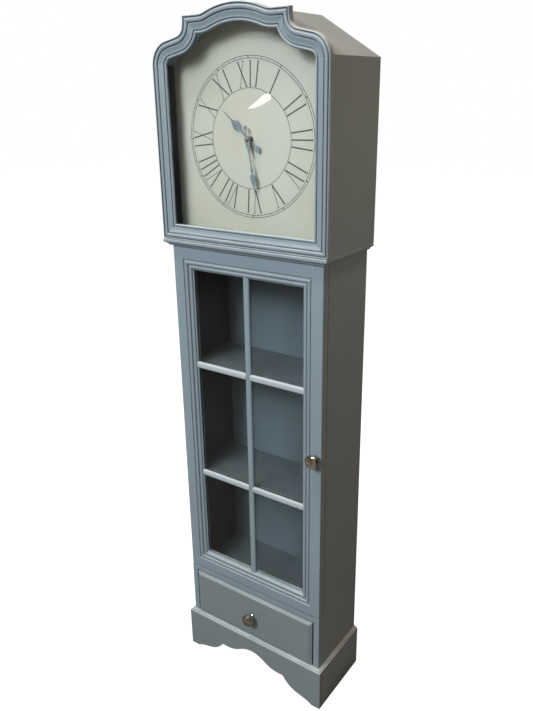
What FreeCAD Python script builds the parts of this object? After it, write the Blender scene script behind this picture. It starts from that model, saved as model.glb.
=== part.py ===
import FreeCAD, Part
import math
import os

# Clock cabinet: a plinth with a shaped skirt, a drawer, a glazed cupboard and a clock hood on top.
# Lengths are in millimetres. X runs to the right, Y to the back and Z up. The origin is on the floor,
# in the middle of the width and of the whole depth, knobs included.

Vec = FreeCAD.Vector
RIGHT = Vec(1, 0, 0)
BACKWARD = Vec(0, 1, 0)
UP = Vec(0, 0, 1)

# Boards, gaps and cuts
board = 15.0               # all the case, hood and plinth boards
back_panel = 5.5           # back panels of case and hood
rebate = 8.0               # width of the step in a side board that the back panel lies in
reveal = 1.5               # gap over the door
shadow_gap = 3.0           # wider gap round the drawer front and under the door
fit = 0.3                  # easy fit between pieces that slide or lie loose
running = 0.05             # radial play of a pin or shaft that turns
cut_over = 10.0            # how far a cut runs past the face that it opens

# Case
case_width = 400.0
case_depth = 185.5         # from the door's face to the back
drawer_bay_height = 135.0
door_height = 871.2
door_thickness = 20.5
hinge_gap = 1.6            # between the door's back and the case, filled by the hinge leaves

# Plinth
plinth_height = 109.6
plinth_outset = 10.6       # how far the plinth stands out past the case
plinth_cap = 9.2           # thickness of the moulded board on the plinth
back_rail_lift = 30.0      # the back rail's lower edge above the floor
skirt_rise = 74.3          # height of the skirt's arch over the floor
# Lower edge of the skirt from a foot to its pointed cusp, then from the cusp to the middle
skirt_foot_shares = [(0.883, 0.0), (0.868, 0.035), (0.84, 0.075), (0.79, 0.125), (0.70, 0.19),
                     (0.62, 0.265), (0.53, 0.44), (0.468, 0.65)]
skirt_arch_shares = [(0.468, 0.65), (0.39, 0.642), (0.32, 0.665), (0.25, 0.73), (0.16, 0.875),
                     (0.08, 0.97), (0.0, 1.0)]
# Edge of the plinth board as shares of its outset and of its thickness, from the bottom up
plinth_edge_shares = [(0.0, 0.0), (1.0, 0.0), (1.0, 0.22), (0.95, 0.36), (0.84, 0.46), (0.66, 0.50),
                      (0.66, 0.66), (0.50, 0.70), (0.30, 0.80), (0.14, 0.93), (0.10, 1.0), (0.0, 1.0)]

# Knobs and their screws
knob_radius = 16.0
knob_reach = 26.0
# Turned shape as shares of the radius and of the reach, from the base to the middle of the face
knob_shape_shares = [(0.0, 0.0), (0.50, 0.0), (0.50, 0.04), (0.42, 0.09), (0.34, 0.14), (0.32, 0.26),
                     (0.40, 0.34), (0.66, 0.41), (0.88, 0.48), (0.97, 0.55), (1.0, 0.63), (1.0, 0.84),
                     (0.97, 0.89), (0.90, 0.925), (0.84, 0.93), (0.70, 0.955), (0.45, 0.985), (0.0, 1.0)]
knob_screw_radius = 2.0
knob_screw_grip = 12.0     # length of the screw inside the knob
knob_screw_head_radius = 4.0
knob_screw_head = 2.5

# Drawer
drawer_proud = 5.5         # how far the drawer front stands out past the door's face
drawer_front_thickness = 20.0
# Sloping edge of the drawer front: distance in from its sides and how proud it is there, as shares
field_border = 8.0
field_edge_shares = [(0.0, 0.10), (0.05, 0.22), (0.93, 0.97), (1.0, 1.0)]
drawer_wall = 12.0
drawer_side_gap = 2.0
drawer_wall_height = 105.0
drawer_floor = 4.0
drawer_floor_lift = 6.0    # underside of the drawer's floor above the lower edge of its sides
groove_depth = 6.0
runner_width = 14.0
runner_height = 8.0

# Door
stile_flat = 26.5          # plain border of the door frame, outside the moulding
rail_flat_bottom = 25.2
rail_flat_top = 27.8
moulding_width = 25.3
door_edge_round = 1.6
glass = 3.0
door_glass_depth = 11.5    # from the door's face to the face of its glass
glass_lap = 6.0            # how far a pane reaches behind its frame
lower_bar_height = 291.6   # of the lower cross bar's middle above the door's lower edge
upper_bar_height = 585.4
bar_width = 16.0
bar_depth = 5.3            # from the door's face down to the face of a glazing bar
# Moulding round the door's glass: shares of its width and of the depth of the glass
moulding_shares = [(0.0, 0.0), (0.06, 0.24), (0.15, 0.26), (0.20, 0.10), (0.27, 0.02), (0.37, 0.02),
                   (0.43, 0.08), (0.47, 0.22), (0.48, 0.40), (0.57, 0.42), (0.60, 0.30), (0.66, 0.22),
                   (0.77, 0.22), (0.84, 0.30), (0.87, 0.42), (0.89, 0.60), (1.0, 0.72), (1.0, 1.0)]
# Rounded face of a glazing bar: shares of its half width and of its thickness off the glass
bar_shares = [(-1.0, 0.0), (-1.0, 0.42), (-0.88, 0.72), (-0.66, 0.92), (-0.36, 1.0), (0.36, 1.0),
              (0.66, 0.92), (0.88, 0.72), (1.0, 0.42), (1.0, 0.0)]
bead_slope = 1.5           # how much the glazing bead narrows towards the back
bar_overlap = 3.0          # length of a bar's end before it is scribed over the moulding

# Hinges
hinge_height = 50.0
hinge_inset = 90.0         # from the door's end to the middle of its hinge
hinge_leaf = 0.7
leaf_width = 13.0
knuckle_radius = 2.4
knuckle_offset = 2.6       # from the door's outer edge to the middle of the pin
knuckle_gap = 0.3
case_knuckle = 15.0        # length of each of the two knuckles on the case's leaf
pin_radius = 1.1
pin_head_radius = 1.8
pin_head = 0.8
leaf_screw_radius = 1.3
leaf_screw_head_radius = 2.6
leaf_screw_length = 12.0
leaf_screw_spread = 32.0
leaf_screw_inset = 7.0     # from the door's outer edge

# Door catch
catch_width = 40.0
catch_height = 12.0
catch_length = 26.0
catch_inset = 50.0         # from the case's inner wall to the middle of the catch
catch_plate = 0.7
catch_plate_width = 30.0
catch_gap = 0.3
catch_lift = 1.0           # of the plate's lower edge above the catch's

# Shelves
shelf_side_gap = 0.5
shelf_setback = 6.0
peg_radius = 2.5
peg_hole = 10.0
peg_reach = 9.0
peg_front_inset = 40.0
peg_back_inset = 30.0

# Screws that hold the back panels
screw_radius = 1.6
screw_head_radius = 3.2
screw_head = 2.4
screw_length = 20.0
screw_end_margin = 40.0
case_screw_count = 5       # up each side
hood_screw_count = 3

# Hood
hood_outset = 15.0         # how far the hood stands out past the case at each side
eave_height = 369.3        # of the eave above the hood's floor
roof_rise = 84.0
ridge_half = 78.3
roof_plumb = 14.0          # thickness of the roof boards, measured straight down
access_width = 140.0       # hole in the hood's back, behind the movement
access_height = 150.0
access_corner = 12.0
# Edge of the hood's floor board as shares of its outset and of its thickness, from the bottom up
hood_edge_shares = [(0.0, 0.0), (0.36, 0.0), (0.44, 0.06), (0.44, 0.17), (0.50, 0.19), (0.56, 0.27),
                    (0.70, 0.38), (0.74, 0.42), (0.74, 0.46), (0.93, 0.48), (1.0, 0.56), (1.0, 0.86),
                    (0.95, 0.97), (0.88, 1.0), (0.0, 1.0)]

# Moulded frame round the dial's glass
frame_lap = 0.8            # how far the frame stands out past the hood's sides
frame_thickness = 14.0
frame_proud = 13.3         # of the frame's face in front of the door's face
frame_width = 34.5
shoulder_height = 361.5    # from the frame's lower edge up to where its sides start to curve
shoulder_radius = 48.8
shoulder_slope = 12.5      # degrees
neck_radius = 22.0
ear_half = 128.3
ear_height = 453.3         # of the flat ears above the frame's lower edge
crown_foot_half = 90.0
crown_rise = 16.7
crown_hollow_radius = 53.0
ear_turn = 26.0            # degrees of the neck's curve that go with the ear's upright edge
# Face of the frame: shares of its width and of its thickness, from the outer edge inwards
frame_shares = [(0.0, 0.30), (0.025, 0.09), (0.05, 0.04), (0.08, 0.08), (0.10, 0.28), (0.145, 0.30),
                (0.165, 0.12), (0.21, 0.03), (0.28, 0.02), (0.34, 0.06), (0.375, 0.14), (0.39, 0.34),
                (0.43, 0.34), (0.445, 0.16), (0.50, 0.19), (0.60, 0.29), (0.70, 0.36), (0.79, 0.38),
                (0.80, 0.56), (0.86, 0.56), (0.87, 0.42), (0.91, 0.38), (0.95, 0.40), (1.0, 0.52)]
clip_length = 16.0
clip_width = 12.0
clip_thickness = 1.0
clip_height_shares = (0.25, 0.5, 0.75)             # of the upright part of the frame

# Dial
dial_height = 217.3        # of the dial's middle above the hood's floor
dial_setback = 38.0        # from the door's face to the dial's face
dial_board = 4.0
ink = 0.15
dial_turn = -0.75          # degrees that the print sits off the upright
minute_ring_radius = 159.6
minute_ring_inner_radius = 154.7
centre_ring_radius = 99.7
ring_line = 1.1
minute_tick = 0.6
hour_tick = 2.2
numeral_foot_radius = 101.6
numeral_head_radius = 150.5
thick_stroke = 2.6
thin_stroke = 1.1
serif_length = 5.4
serif_line = 1.0
x_head_half = 6.8          # from the middle of an X to the outer end of each of its strokes
x_foot_half = 8.0
v_head_half = 8.8
# Letters of each hour from twelve on, with the degrees from the hour's line to each letter's middle
numerals = [
    [("X", -7.5), ("I", 2.0), ("I", 9.5)],
    [("I", 0.0)],
    [("I", -3.75), ("I", 3.75)],
    [("I", -7.5), ("I", 0.0), ("I", 7.5)],
    [("I", -5.25), ("V", 5.0)],
    [("V", 0.5)],
    [("V", -4.9), ("I", 4.7)],
    [("V", -7.5), ("I", -0.75), ("I", 6.75)],
    [("V", -8.4), ("I", -1.5), ("I", 4.75), ("I", 11.0)],
    [("I", -5.75), ("X", 3.4)],
    [("X", -0.25)],
    [("X", -5.25), ("I", 4.5)],
]

# Movement, hands and battery
movement_size = 56.0
movement_thickness = 16.0
movement_round = 5.0
movement_wall = 1.8
bush_radius = 4.0
bush_reach = 4.0           # of the threaded bush in front of the dial
hour_tube_radius = 3.0
minute_shaft_radius = 1.9
nut_half_flat = 6.5
nut_thickness = 2.5
hand_thickness = 0.7
hour_hand_standoff = 5.5   # from the dial's face to the back of the hour hand
hand_gap = 6.1             # between the two hands
hand_seat = 1.0            # thickness of the collar behind each hand
hand_seat_radius = 5.0
hand_boss_radius = 6.3
hour_hand_length = 86.0
hour_hand_angle = -49.4    # degrees clockwise from twelve
hour_hand_half_width = 9.3
hour_tail_length = 28.5
hour_tail_radius = 6.6
hour_tail_half_width = 2.0
minute_hand_length = 110.0
minute_hand_angle = 170.6
minute_hand_half_width = 6.8
minute_tail_length = 23.3
minute_tail_radius = 4.6
minute_tail_half_width = 1.5
# Right-hand edge of each hand from its axis to its tip: shares of its length and of its half width.
# Each run is one smooth curve, and the runs meet at a sharp corner.
hour_edge_shares = [
    [(0.0, 0.215), (0.302, 0.215)],
    [(0.302, 0.215), (0.343, 0.323), (0.372, 0.57), (0.407, 0.806), (0.448, 0.957), (0.50, 1.0),
     (0.547, 0.839), (0.581, 0.634), (0.616, 0.441), (0.651, 0.258), (0.68, 0.129)],
    [(0.68, 0.129), (1.0, 0.075)],
]
minute_edge_shares = [
    [(0.0, 0.926), (0.091, 0.765), (0.136, 0.618), (0.182, 0.441), (0.227, 0.279), (0.273, 0.191),
     (0.409, 0.162), (0.50, 0.221), (0.545, 0.397), (0.573, 0.426), (0.60, 0.235), (0.623, 0.176)],
    [(0.623, 0.176), (0.64, 0.60), (0.655, 0.882), (0.691, 1.0), (0.727, 0.897), (0.773, 0.699),
     (0.818, 0.50), (0.864, 0.294), (0.891, 0.176)],
    [(0.891, 0.176), (1.0, 0.088)],
]
cap_radius = 3.3
cap_reach = 2.6
battery_radius = 7.1
battery_length = 49.5
battery_tip_radius = 2.7
battery_tip = 1.2
battery_drop = 18.0        # of the battery's axis below the hands' axis
setting_wheel_radius = 7.0
setting_wheel_thickness = 3.5
setting_wheel_offset = 15.0
setting_shaft_radius = 1.9
setting_shaft_length = 6.0
setting_rib_count = 18
setting_rib_radius = 0.5

# Places worked out from the sizes
overall_depth = case_depth + drawer_proud + knob_reach
front = drawer_proud + knob_reach - overall_depth / 2      # the door's face
back = front + case_depth
case_half = case_width / 2
inner_half = case_half - board
case_front = front + door_thickness + hinge_gap            # the case's edges behind the door
panel_front = back - back_panel
case_foot = plinth_height + plinth_cap
drawer_bay_top = case_foot + drawer_bay_height
divider_top = drawer_bay_top + board
door_bottom = divider_top + shadow_gap
door_top = door_bottom + door_height
case_top = door_top + reveal
hood_floor_top = case_top + board
plinth_half = case_half + plinth_outset
plinth_front_y = front - plinth_outset

hood_half = case_half + hood_outset
hood_inner_half = hood_half - board
frame_front = front - frame_proud
hood_front = frame_front + frame_thickness
frame_half = hood_half + frame_lap
eave = hood_floor_top + eave_height
ridge = eave + roof_rise
roof_slope = roof_rise / (hood_half - ridge_half)

door_back = front + door_thickness
moulding_outer_half = case_half - stile_flat
opening_half = moulding_outer_half - moulding_width
moulding_bottom = door_bottom + rail_flat_bottom
moulding_top = door_top - rail_flat_top
door_glass_front = front + door_glass_depth
door_glass_back = door_glass_front + glass
pin_x = -case_half - knuckle_offset
pin_y = door_back + hinge_gap / 2
hinge_heights = [door_bottom + hinge_inset, door_top - hinge_inset]
shelf_tops = {"shelf_lower": door_bottom + lower_bar_height, "shelf_upper": door_bottom + upper_bar_height}

drawer_front_half = inner_half - shadow_gap
drawer_front_bottom = case_foot + shadow_gap
drawer_front_top = drawer_bay_top - shadow_gap
drawer_face = front - drawer_proud
drawer_front_back = drawer_face + drawer_front_thickness
drawer_half = inner_half - drawer_side_gap
drawer_inner_half = drawer_half - drawer_wall
drawer_foot = case_foot + runner_height + fit
drawer_rear = panel_front - fit                            # a closed drawer stops at the back panel
drawer_knob_height = (drawer_front_bottom + drawer_front_top) / 2
door_knob_x = case_half - stile_flat / 2
door_knob_height = door_bottom + door_height / 2

dial_z = hood_floor_top + dial_height
dial_face = front + dial_setback
dial_back = dial_face + dial_board
movement_back = dial_back + movement_thickness
hour_hand_back = dial_face - hour_hand_standoff
minute_hand_back = hour_hand_back - hand_thickness - hand_gap
shaft_end = movement_back - movement_wall
bush_front = dial_face - bush_reach


def box(x0, x1, y0, y1, z0, z1):
    """Board with square faces, given by its two ends along X, Y and Z."""
    return Part.makeBox(x1 - x0, y1 - y0, z1 - z0, Vec(x0, y0, z0))


def rod(radius, length, start, direction):
    return Part.makeCylinder(radius, length, start, direction)


def tube(outer_radius, inner_radius, length, start, direction):
    return rod(outer_radius, length, start, direction).cut(rod(inner_radius, length, start, direction))


def closed_wire(points):
    return Part.makePolygon(points + points[:1])


def prism(points, travel):
    """Solid left by a closed outline that is pushed straight along travel."""
    return Part.Face(closed_wire(points)).extrude(travel)


def mirrored(shape):
    """The same piece on the other side of the middle plane."""
    return shape.mirror(Vec(0, 0, 0), RIGHT)


def fused(shapes):
    whole = shapes[0].multiFuse(shapes[1:])
    return whole.removeSplitter()


def mitred_bar(first_end, second_end):
    """Straight moulding between two end outlines whose corners match one to one."""
    firsts = list(zip(first_end, first_end[1:] + first_end[:1]))
    seconds = list(zip(second_end, second_end[1:] + second_end[:1]))
    outlines = [[a, b, d, c] for (a, b), (c, d) in zip(firsts, seconds)] + [first_end, second_end]
    return closed_solid([Part.Face(closed_wire(outline)) for outline in outlines])


def closed_solid(faces):
    """Solid inside a set of faces that meet along their edges."""
    shell = Part.makeShell(faces)
    shell.sewShape()
    solid = Part.Solid(shell)
    if solid.Volume < 0:
        solid.reverse()
    return solid


def rounded(shape, radius, chosen):
    """Shape with a radius on every edge whose middle passes the test."""
    edges = [edge for edge in shape.Edges if chosen(edge.CenterOfMass)]
    return shape.makeFillet(radius, edges)


def curve_through(points):
    curve = Part.BSplineCurve()
    curve.interpolate(points)
    return curve.toShape()


def save(name, *pieces):
    """One file for one node. Several pieces in it stay separate solids."""
    shape = pieces[0] if len(pieces) == 1 else Part.makeCompound(list(pieces))
    if not shape.isValid():
        print("not valid:", name)
    shape.exportStep("parts/" + name + ".step")


def moulded_board(base, thickness, outset, shares):
    """Board over the case's outline, with a moulding along its front and both sides."""
    section = [(across * outset, up * thickness) for across, up in shares]
    front_left = [Vec(-case_half - out, front - out, base + up) for out, up in section]
    front_right = [Vec(case_half + out, front - out, base + up) for out, up in section]
    back_right = [Vec(case_half + out, back, base + up) for out, up in section]
    core = box(-case_half, case_half, front, back, base, base + thickness)
    side = mitred_bar(front_right, back_right)
    return fused([core, mitred_bar(front_left, front_right), side, mirrored(side)])


def skirt_edge(shares):
    return [Vec(across * plinth_half, plinth_front_y, up * skirt_rise) for across, up in shares]


def plinth_front():
    """Front board of the plinth, with the shaped lower edge between its two feet."""
    right_foot = skirt_edge(skirt_foot_shares)
    right_arch = skirt_edge(skirt_arch_shares)
    half = [curve_through(right_foot), curve_through(right_arch)]
    other_half = [mirrored(edge) for edge in half]
    foot = right_foot[0]
    outer_low = Vec(plinth_half, plinth_front_y, 0)
    outer_high = Vec(plinth_half, plinth_front_y, plinth_height)
    border = [Part.makeLine(foot, outer_low), Part.makeLine(outer_low, outer_high)]
    other_border = [mirrored(edge) for edge in border]
    top = Part.makeLine(outer_high, Vec(-plinth_half, plinth_front_y, plinth_height))
    edges = Part.__sortEdges__(half + other_half + border + other_border + [top])
    return Part.Face(Part.Wire(edges)).extrude(BACKWARD * board)


def plinth():
    side = box(plinth_half - board, plinth_half, plinth_front_y + board, back, 0, plinth_height)
    rail_half = plinth_half - board
    save("plinth_front", plinth_front())
    save("plinth_side_right", side)
    save("plinth_side_left", mirrored(side))
    save("plinth_back_rail", box(-rail_half, rail_half, back - board, back, back_rail_lift, plinth_height))
    save("plinth_top", moulded_board(plinth_height, plinth_cap, plinth_outset, plinth_edge_shares))


def countersunk_screw(x, z):
    """Screw through a back panel into the board in front of it, its head flush with the back."""
    head = Part.makeCone(screw_head_radius, screw_radius, screw_head, Vec(x, back, z), -BACKWARD)
    shank = rod(screw_radius, screw_length, Vec(x, back, z), -BACKWARD)
    return head.fuse(shank).removeSplitter()


def screw_column(half, low, high, count):
    """Screws spread evenly up both side boards, in the strip that the back panel covers."""
    spread = high - low - screw_end_margin - screw_end_margin
    heights = [low + screw_end_margin + spread * i / (count - 1) for i in range(count)]
    x = half - board + rebate / 2
    return [countersunk_screw(side * x, z) for side in (-1, 1) for z in heights]


def peg(top, y):
    """Shelf peg in the right-hand side board, just under a shelf."""
    start = Vec(inner_half - peg_reach, y, top - board - peg_radius)
    return rod(peg_radius, peg_reach + peg_hole, start, RIGHT)


def shelf_pegs():
    places = [case_front + peg_front_inset, panel_front - peg_back_inset]
    pegs = [peg(top, y) for top in shelf_tops.values() for y in places]
    return pegs + [mirrored(piece) for piece in pegs]


def leaf_screw(start, direction):
    """Flat-headed screw of a hinge leaf, its head as thick as the leaf."""
    head = rod(leaf_screw_head_radius, hinge_leaf, start, direction)
    return head.fuse(rod(leaf_screw_radius, leaf_screw_length, start, direction))


def leaf_screws(y, direction):
    x = -case_half + leaf_screw_inset
    offsets = (-leaf_screw_spread / 2, leaf_screw_spread / 2)
    return [leaf_screw(Vec(x, y, z + offset), direction) for z in hinge_heights for offset in offsets]


def case_side():
    """Right-hand side board: full depth beside the drawer, set back behind the door above it."""
    corners = [(front, case_foot), (back, case_foot), (back, case_top), (case_front, case_top),
               (case_front, divider_top), (front, divider_top)]
    side = prism([Vec(inner_half, y, z) for y, z in corners], RIGHT * board)
    step = box(inner_half, inner_half + rebate, panel_front, back + cut_over, case_foot, case_top)
    return side.cut(step)


def case_boards():
    pegs = shelf_pegs()
    screws = screw_column(case_half, case_foot, case_top, case_screw_count)
    case_leaf_screws = leaf_screws(case_front - hinge_leaf, BACKWARD)
    panel_half = inner_half + rebate
    right = case_side()
    panel = box(-panel_half, panel_half, panel_front, back, case_foot, case_top)
    divider = box(-inner_half, inner_half, front, panel_front, drawer_bay_top, divider_top)
    top = box(-inner_half, inner_half, case_front, panel_front, case_top - board, case_top)
    save("case_side_right", right.cut(Part.makeCompound(pegs + screws)))
    save("case_side_left", mirrored(right).cut(Part.makeCompound(pegs + screws + case_leaf_screws)))
    save("case_back", panel.cut(Part.makeCompound(screws)))
    save("case_divider", divider)
    save("case_top", top)
    hood_screws = screw_column(hood_half, hood_floor_top, eave, hood_screw_count)
    save("case_screws", *(screws + hood_screws + case_leaf_screws))
    save("shelf_pegs", *pegs)
    for name, height in shelf_tops.items():
        half = inner_half - shelf_side_gap
        shelf = box(-half, half, case_front + shelf_setback, panel_front - fit, height - board, height)
        save(name, shelf)


def rectangle(half, low, high, y):
    return closed_wire([Vec(-half, y, low), Vec(half, y, low), Vec(half, y, high), Vec(-half, y, high)])


def drawer_front_board():
    """Thick front that stands proud of the case, with a steep slope along all four sides."""
    steps = [(border * field_border, proud * drawer_proud) for border, proud in field_edge_shares]
    wires = []
    for border, proud in steps:
        low = drawer_front_bottom + border
        high = drawer_front_top - border
        wires.append(rectangle(drawer_front_half - border, low, high, front - proud))
    layers = [Part.makeLoft([near, far], True, True) for near, far in zip(wires, wires[1:])]
    plain = box(-drawer_front_half, drawer_front_half, front - steps[0][1], drawer_front_back,
                drawer_front_bottom, drawer_front_top)
    return fused([plain] + layers)


def knob_and_screw(x, face, z, behind):
    """Turned knob on a face, and the screw that holds it from behind with its head let in."""
    points = [Vec(x + out * knob_radius, face - reach * knob_reach, z) for out, reach in knob_shape_shares]
    knob = Part.Face(closed_wire(points)).revolve(Vec(x, face, z), BACKWARD, 360)
    grip_end = Vec(x, face - knob_screw_grip, z)
    shank = rod(knob_screw_radius, behind - face + knob_screw_grip, grip_end, BACKWARD)
    head_start = Vec(x, behind - knob_screw_head, z)
    head = rod(knob_screw_head_radius, knob_screw_head, head_start, BACKWARD)
    screw = shank.fuse(head).removeSplitter()
    return knob.cut(screw), screw


def drawer():
    floor_half = drawer_inner_half + groove_depth
    floor_low = drawer_foot + drawer_floor_lift
    floor = box(-floor_half, floor_half, drawer_front_back - groove_depth,
                drawer_rear - drawer_wall + groove_depth, floor_low, floor_low + drawer_floor)
    wall_top = drawer_foot + drawer_wall_height
    side = box(drawer_inner_half, drawer_half, drawer_front_back, drawer_rear, drawer_foot, wall_top)
    rear = box(-drawer_inner_half, drawer_inner_half, drawer_rear - drawer_wall, drawer_rear,
               drawer_foot, wall_top)
    knob, screw = knob_and_screw(0, drawer_face, drawer_knob_height, drawer_front_back)
    runner = box(inner_half - runner_width, inner_half, case_front, panel_front,
                 case_foot, case_foot + runner_height)
    save("drawer_front", drawer_front_board().cut(floor).cut(screw))
    save("drawer_side_right", side.cut(floor))
    save("drawer_side_left", mirrored(side.cut(floor)))
    save("drawer_back", rear.cut(floor))
    save("drawer_bottom", floor)
    save("drawer_knob", knob)
    save("drawer_knob_screw", screw)
    save("drawer_runners", runner, mirrored(runner))


def door_section():
    """Section through the moulding: distance in from its outer edge and depth behind the door's face."""
    face = [(across * moulding_width, down * door_glass_depth) for across, down in moulding_shares]
    rebate_start = moulding_width - glass_lap
    return face + [(rebate_start, door_glass_depth), (rebate_start, door_thickness), (0, door_thickness)]


def moulding_corner(side, low, section):
    """Mitred end of the moulding at one corner of the door's glass."""
    points = []
    for across, down in section:
        z = moulding_bottom + across if low else moulding_top - across
        points.append(Vec(side * (moulding_outer_half - across), front + down, z))
    return points


def door_frame():
    section = door_section()
    corners = {(side, low): moulding_corner(side, low, section) for side in (-1, 1) for low in (True, False)}
    flat = box(moulding_outer_half, case_half, front, door_back, door_bottom, door_top)
    flat = rounded(flat, door_edge_round, is_door_front_edge)
    stile = fused([flat, mitred_bar(corners[1, True], corners[1, False])])
    half = moulding_outer_half
    bottom_flat = box(-half, half, front, door_back, door_bottom, moulding_bottom)
    top_flat = box(-half, half, front, door_back, moulding_top, door_top)
    bottom = fused([bottom_flat, mitred_bar(corners[-1, True], corners[1, True])])
    top = fused([top_flat, mitred_bar(corners[-1, False], corners[1, False])])
    return stile, mirrored(stile), bottom, top


def is_door_front_edge(middle):
    """True for the upright outer edge on the face of the right-hand stile."""
    return abs(middle.x - case_half) < fit and abs(middle.y - front) < fit


def bar_outline(centre, lengthways):
    """Rounded section of a glazing bar; lengthways is the axis that its width lies along."""
    rise = door_glass_depth - bar_depth
    return [centre + lengthways * (across * bar_width / 2) - BACKWARD * (up * rise)
            for across, up in bar_shares]


def glazing_bar(start, end, lengthways):
    return mitred_bar(bar_outline(start, lengthways), bar_outline(end, lengthways))


def glazing_bars(frame):
    """Upright bar from rail to rail, and two cross bars scribed to it and to the moulding."""
    low = moulding_bottom + moulding_width - bar_overlap
    high = moulding_top - moulding_width + bar_overlap
    reach = opening_half + bar_overlap
    upright = glazing_bar(Vec(0, door_glass_front, low), Vec(0, door_glass_front, high), RIGHT)
    cross = []
    for height in shelf_tops.values():
        right = glazing_bar(Vec(0, door_glass_front, height), Vec(reach, door_glass_front, height), UP)
        right = right.cut(Part.makeCompound([upright, frame[0]]))
        cross += [right, mirrored(right)]
    return upright.cut(Part.makeCompound(list(frame[2:]))), cross


def glazing_beads():
    """Four mitred beads behind the glass, square to it and narrowing to the back."""
    inner = moulding_width
    outer = moulding_width - glass_lap
    section = [(outer, door_glass_depth + glass), (inner, door_glass_depth + glass),
               (inner - bead_slope, door_thickness), (outer, door_thickness)]
    corners = ((-1, True), (1, True), (1, False), (-1, False))
    ends = [moulding_corner(side, low, section) for side, low in corners]
    return [mitred_bar(first, second) for first, second in zip(ends, ends[1:] + ends[:1])]


def hinge(height):
    """Three-knuckle butt hinge: the case's leaf has the outer knuckles, the door's the middle one."""
    low = height - hinge_height / 2
    high = height + hinge_height / 2
    plate_end = -case_half + leaf_width
    spans_case = [(low, low + case_knuckle), (high - case_knuckle, high)]
    spans_door = [(low + case_knuckle + knuckle_gap, high - case_knuckle - knuckle_gap)]
    pin = rod(pin_radius, hinge_height + pin_head + pin_head, Vec(pin_x, pin_y, low - pin_head), UP)
    caps = [rod(pin_head_radius, pin_head, Vec(pin_x, pin_y, z), UP) for z in (low - pin_head, high)]
    leaves = []
    for spans, plate_y, bore in ((spans_case, case_front - hinge_leaf, pin_radius),
                                 (spans_door, door_back, pin_radius + running)):
        leaf = [box(-case_half, plate_end, plate_y, plate_y + hinge_leaf, low, high)]
        for start, end in spans:
            leaf.append(box(pin_x, -case_half, plate_y, plate_y + hinge_leaf, start, end))
            leaf.append(rod(knuckle_radius, end - start, Vec(pin_x, pin_y, start), UP))
        bore_hole = rod(bore, hinge_height, Vec(pin_x, pin_y, low), UP)
        leaves.append(fused(leaf).cut(bore_hole))
    return leaves[0], leaves[1], fused([pin] + caps)


def door():
    stile_right, stile_left, rail_bottom, rail_top = door_frame()
    upright, cross = glazing_bars((stile_right, stile_left, rail_bottom, rail_top))
    knob, knob_screw = knob_and_screw(door_knob_x, front, door_knob_height, door_back)
    case_leaves, door_leaves, pins = zip(*[hinge(height) for height in hinge_heights])
    door_leaf_screws = leaf_screws(door_back + hinge_leaf, -BACKWARD)
    case_leaf_screws = leaf_screws(case_front - hinge_leaf, BACKWARD)
    screw_holes = Part.makeCompound(door_leaf_screws + case_leaf_screws)
    pane_half = opening_half + glass_lap
    pane = box(-pane_half, pane_half, door_glass_front, door_glass_back,
               moulding_bottom + moulding_width - glass_lap, moulding_top - moulding_width + glass_lap)
    save("door_stile_right", stile_right.cut(knob_screw))
    save("door_stile_left", stile_left.cut(Part.makeCompound(door_leaf_screws)))
    save("door_rail_bottom", rail_bottom)
    save("door_rail_top", rail_top)
    save("glazing_bar_upright", upright)
    save("glazing_bars_cross", *cross)
    save("door_glass", pane)
    save("door_glass_beads", *glazing_beads())
    save("door_knob", knob)
    save("door_knob_screw", knob_screw)
    save("hinge_leaves_case", *[leaf.cut(screw_holes) for leaf in case_leaves])
    save("hinge_leaves_door", *[leaf.cut(screw_holes) for leaf in door_leaves])
    save("hinge_pins", *pins)
    save("hinge_screws_door", *door_leaf_screws)


def door_catch():
    """Magnetic catch under the case's top board, and the steel plate on the door that meets it."""
    middle = inner_half - catch_inset
    low = case_top - board - catch_height
    magnet_front = door_back + catch_plate + catch_gap
    body = box(middle - catch_width / 2, middle + catch_width / 2, magnet_front, magnet_front + catch_length,
               low, low + catch_height)
    plate = box(middle - catch_plate_width / 2, middle + catch_plate_width / 2, door_back,
                door_back + catch_plate, low + catch_lift, low + catch_height - catch_lift)
    save("catch_magnet", body)
    save("catch_plate", plate)


def roof_underside(x):
    """Height of the lower face of the roof at a distance x from the middle."""
    return ridge - roof_plumb - roof_slope * max(abs(x) - ridge_half, 0)


def hood_shell():
    floor = moulded_board(case_top, board, hood_outset, hood_edge_shares)
    screws = screw_column(hood_half, hood_floor_top, eave, hood_screw_count)
    length = BACKWARD * (back - hood_front)
    side_corners = [(hood_inner_half, hood_floor_top), (hood_half, hood_floor_top),
                    (hood_half, roof_underside(hood_half)),
                    (hood_inner_half, roof_underside(hood_inner_half))]
    side = prism([Vec(x, hood_front, z) for x, z in side_corners], length)
    step = box(hood_inner_half, hood_inner_half + rebate, panel_front, back + cut_over,
               hood_floor_top, eave)
    side = side.cut(step)
    slope_corners = [(hood_half, roof_underside(hood_half)), (hood_half, eave), (ridge_half, ridge),
                     (ridge_half, roof_underside(ridge_half))]
    slope = prism([Vec(x, hood_front, z) for x, z in slope_corners], length)
    save("hood_floor", floor)
    save("hood_side_right", side.cut(Part.makeCompound(screws)))
    save("hood_side_left", mirrored(side).cut(Part.makeCompound(screws)))
    save("hood_roof_right", slope)
    save("hood_roof_left", mirrored(slope))
    save("hood_roof_top", box(-ridge_half, ridge_half, hood_front, back, ridge - roof_plumb, ridge))
    save("hood_back", hood_back().cut(Part.makeCompound(screws)))


def gable_outline(half, y, gap):
    """Outline of a board that fills the hood's inside up to the roof."""
    corners = [(half, hood_floor_top), (half, roof_underside(half) - gap),
               (ridge_half, roof_underside(ridge_half) - gap)]
    right = [Vec(x, y, z) for x, z in corners]
    left = [Vec(-x, y, z) for x, z in reversed(corners)]
    return right + left


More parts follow.
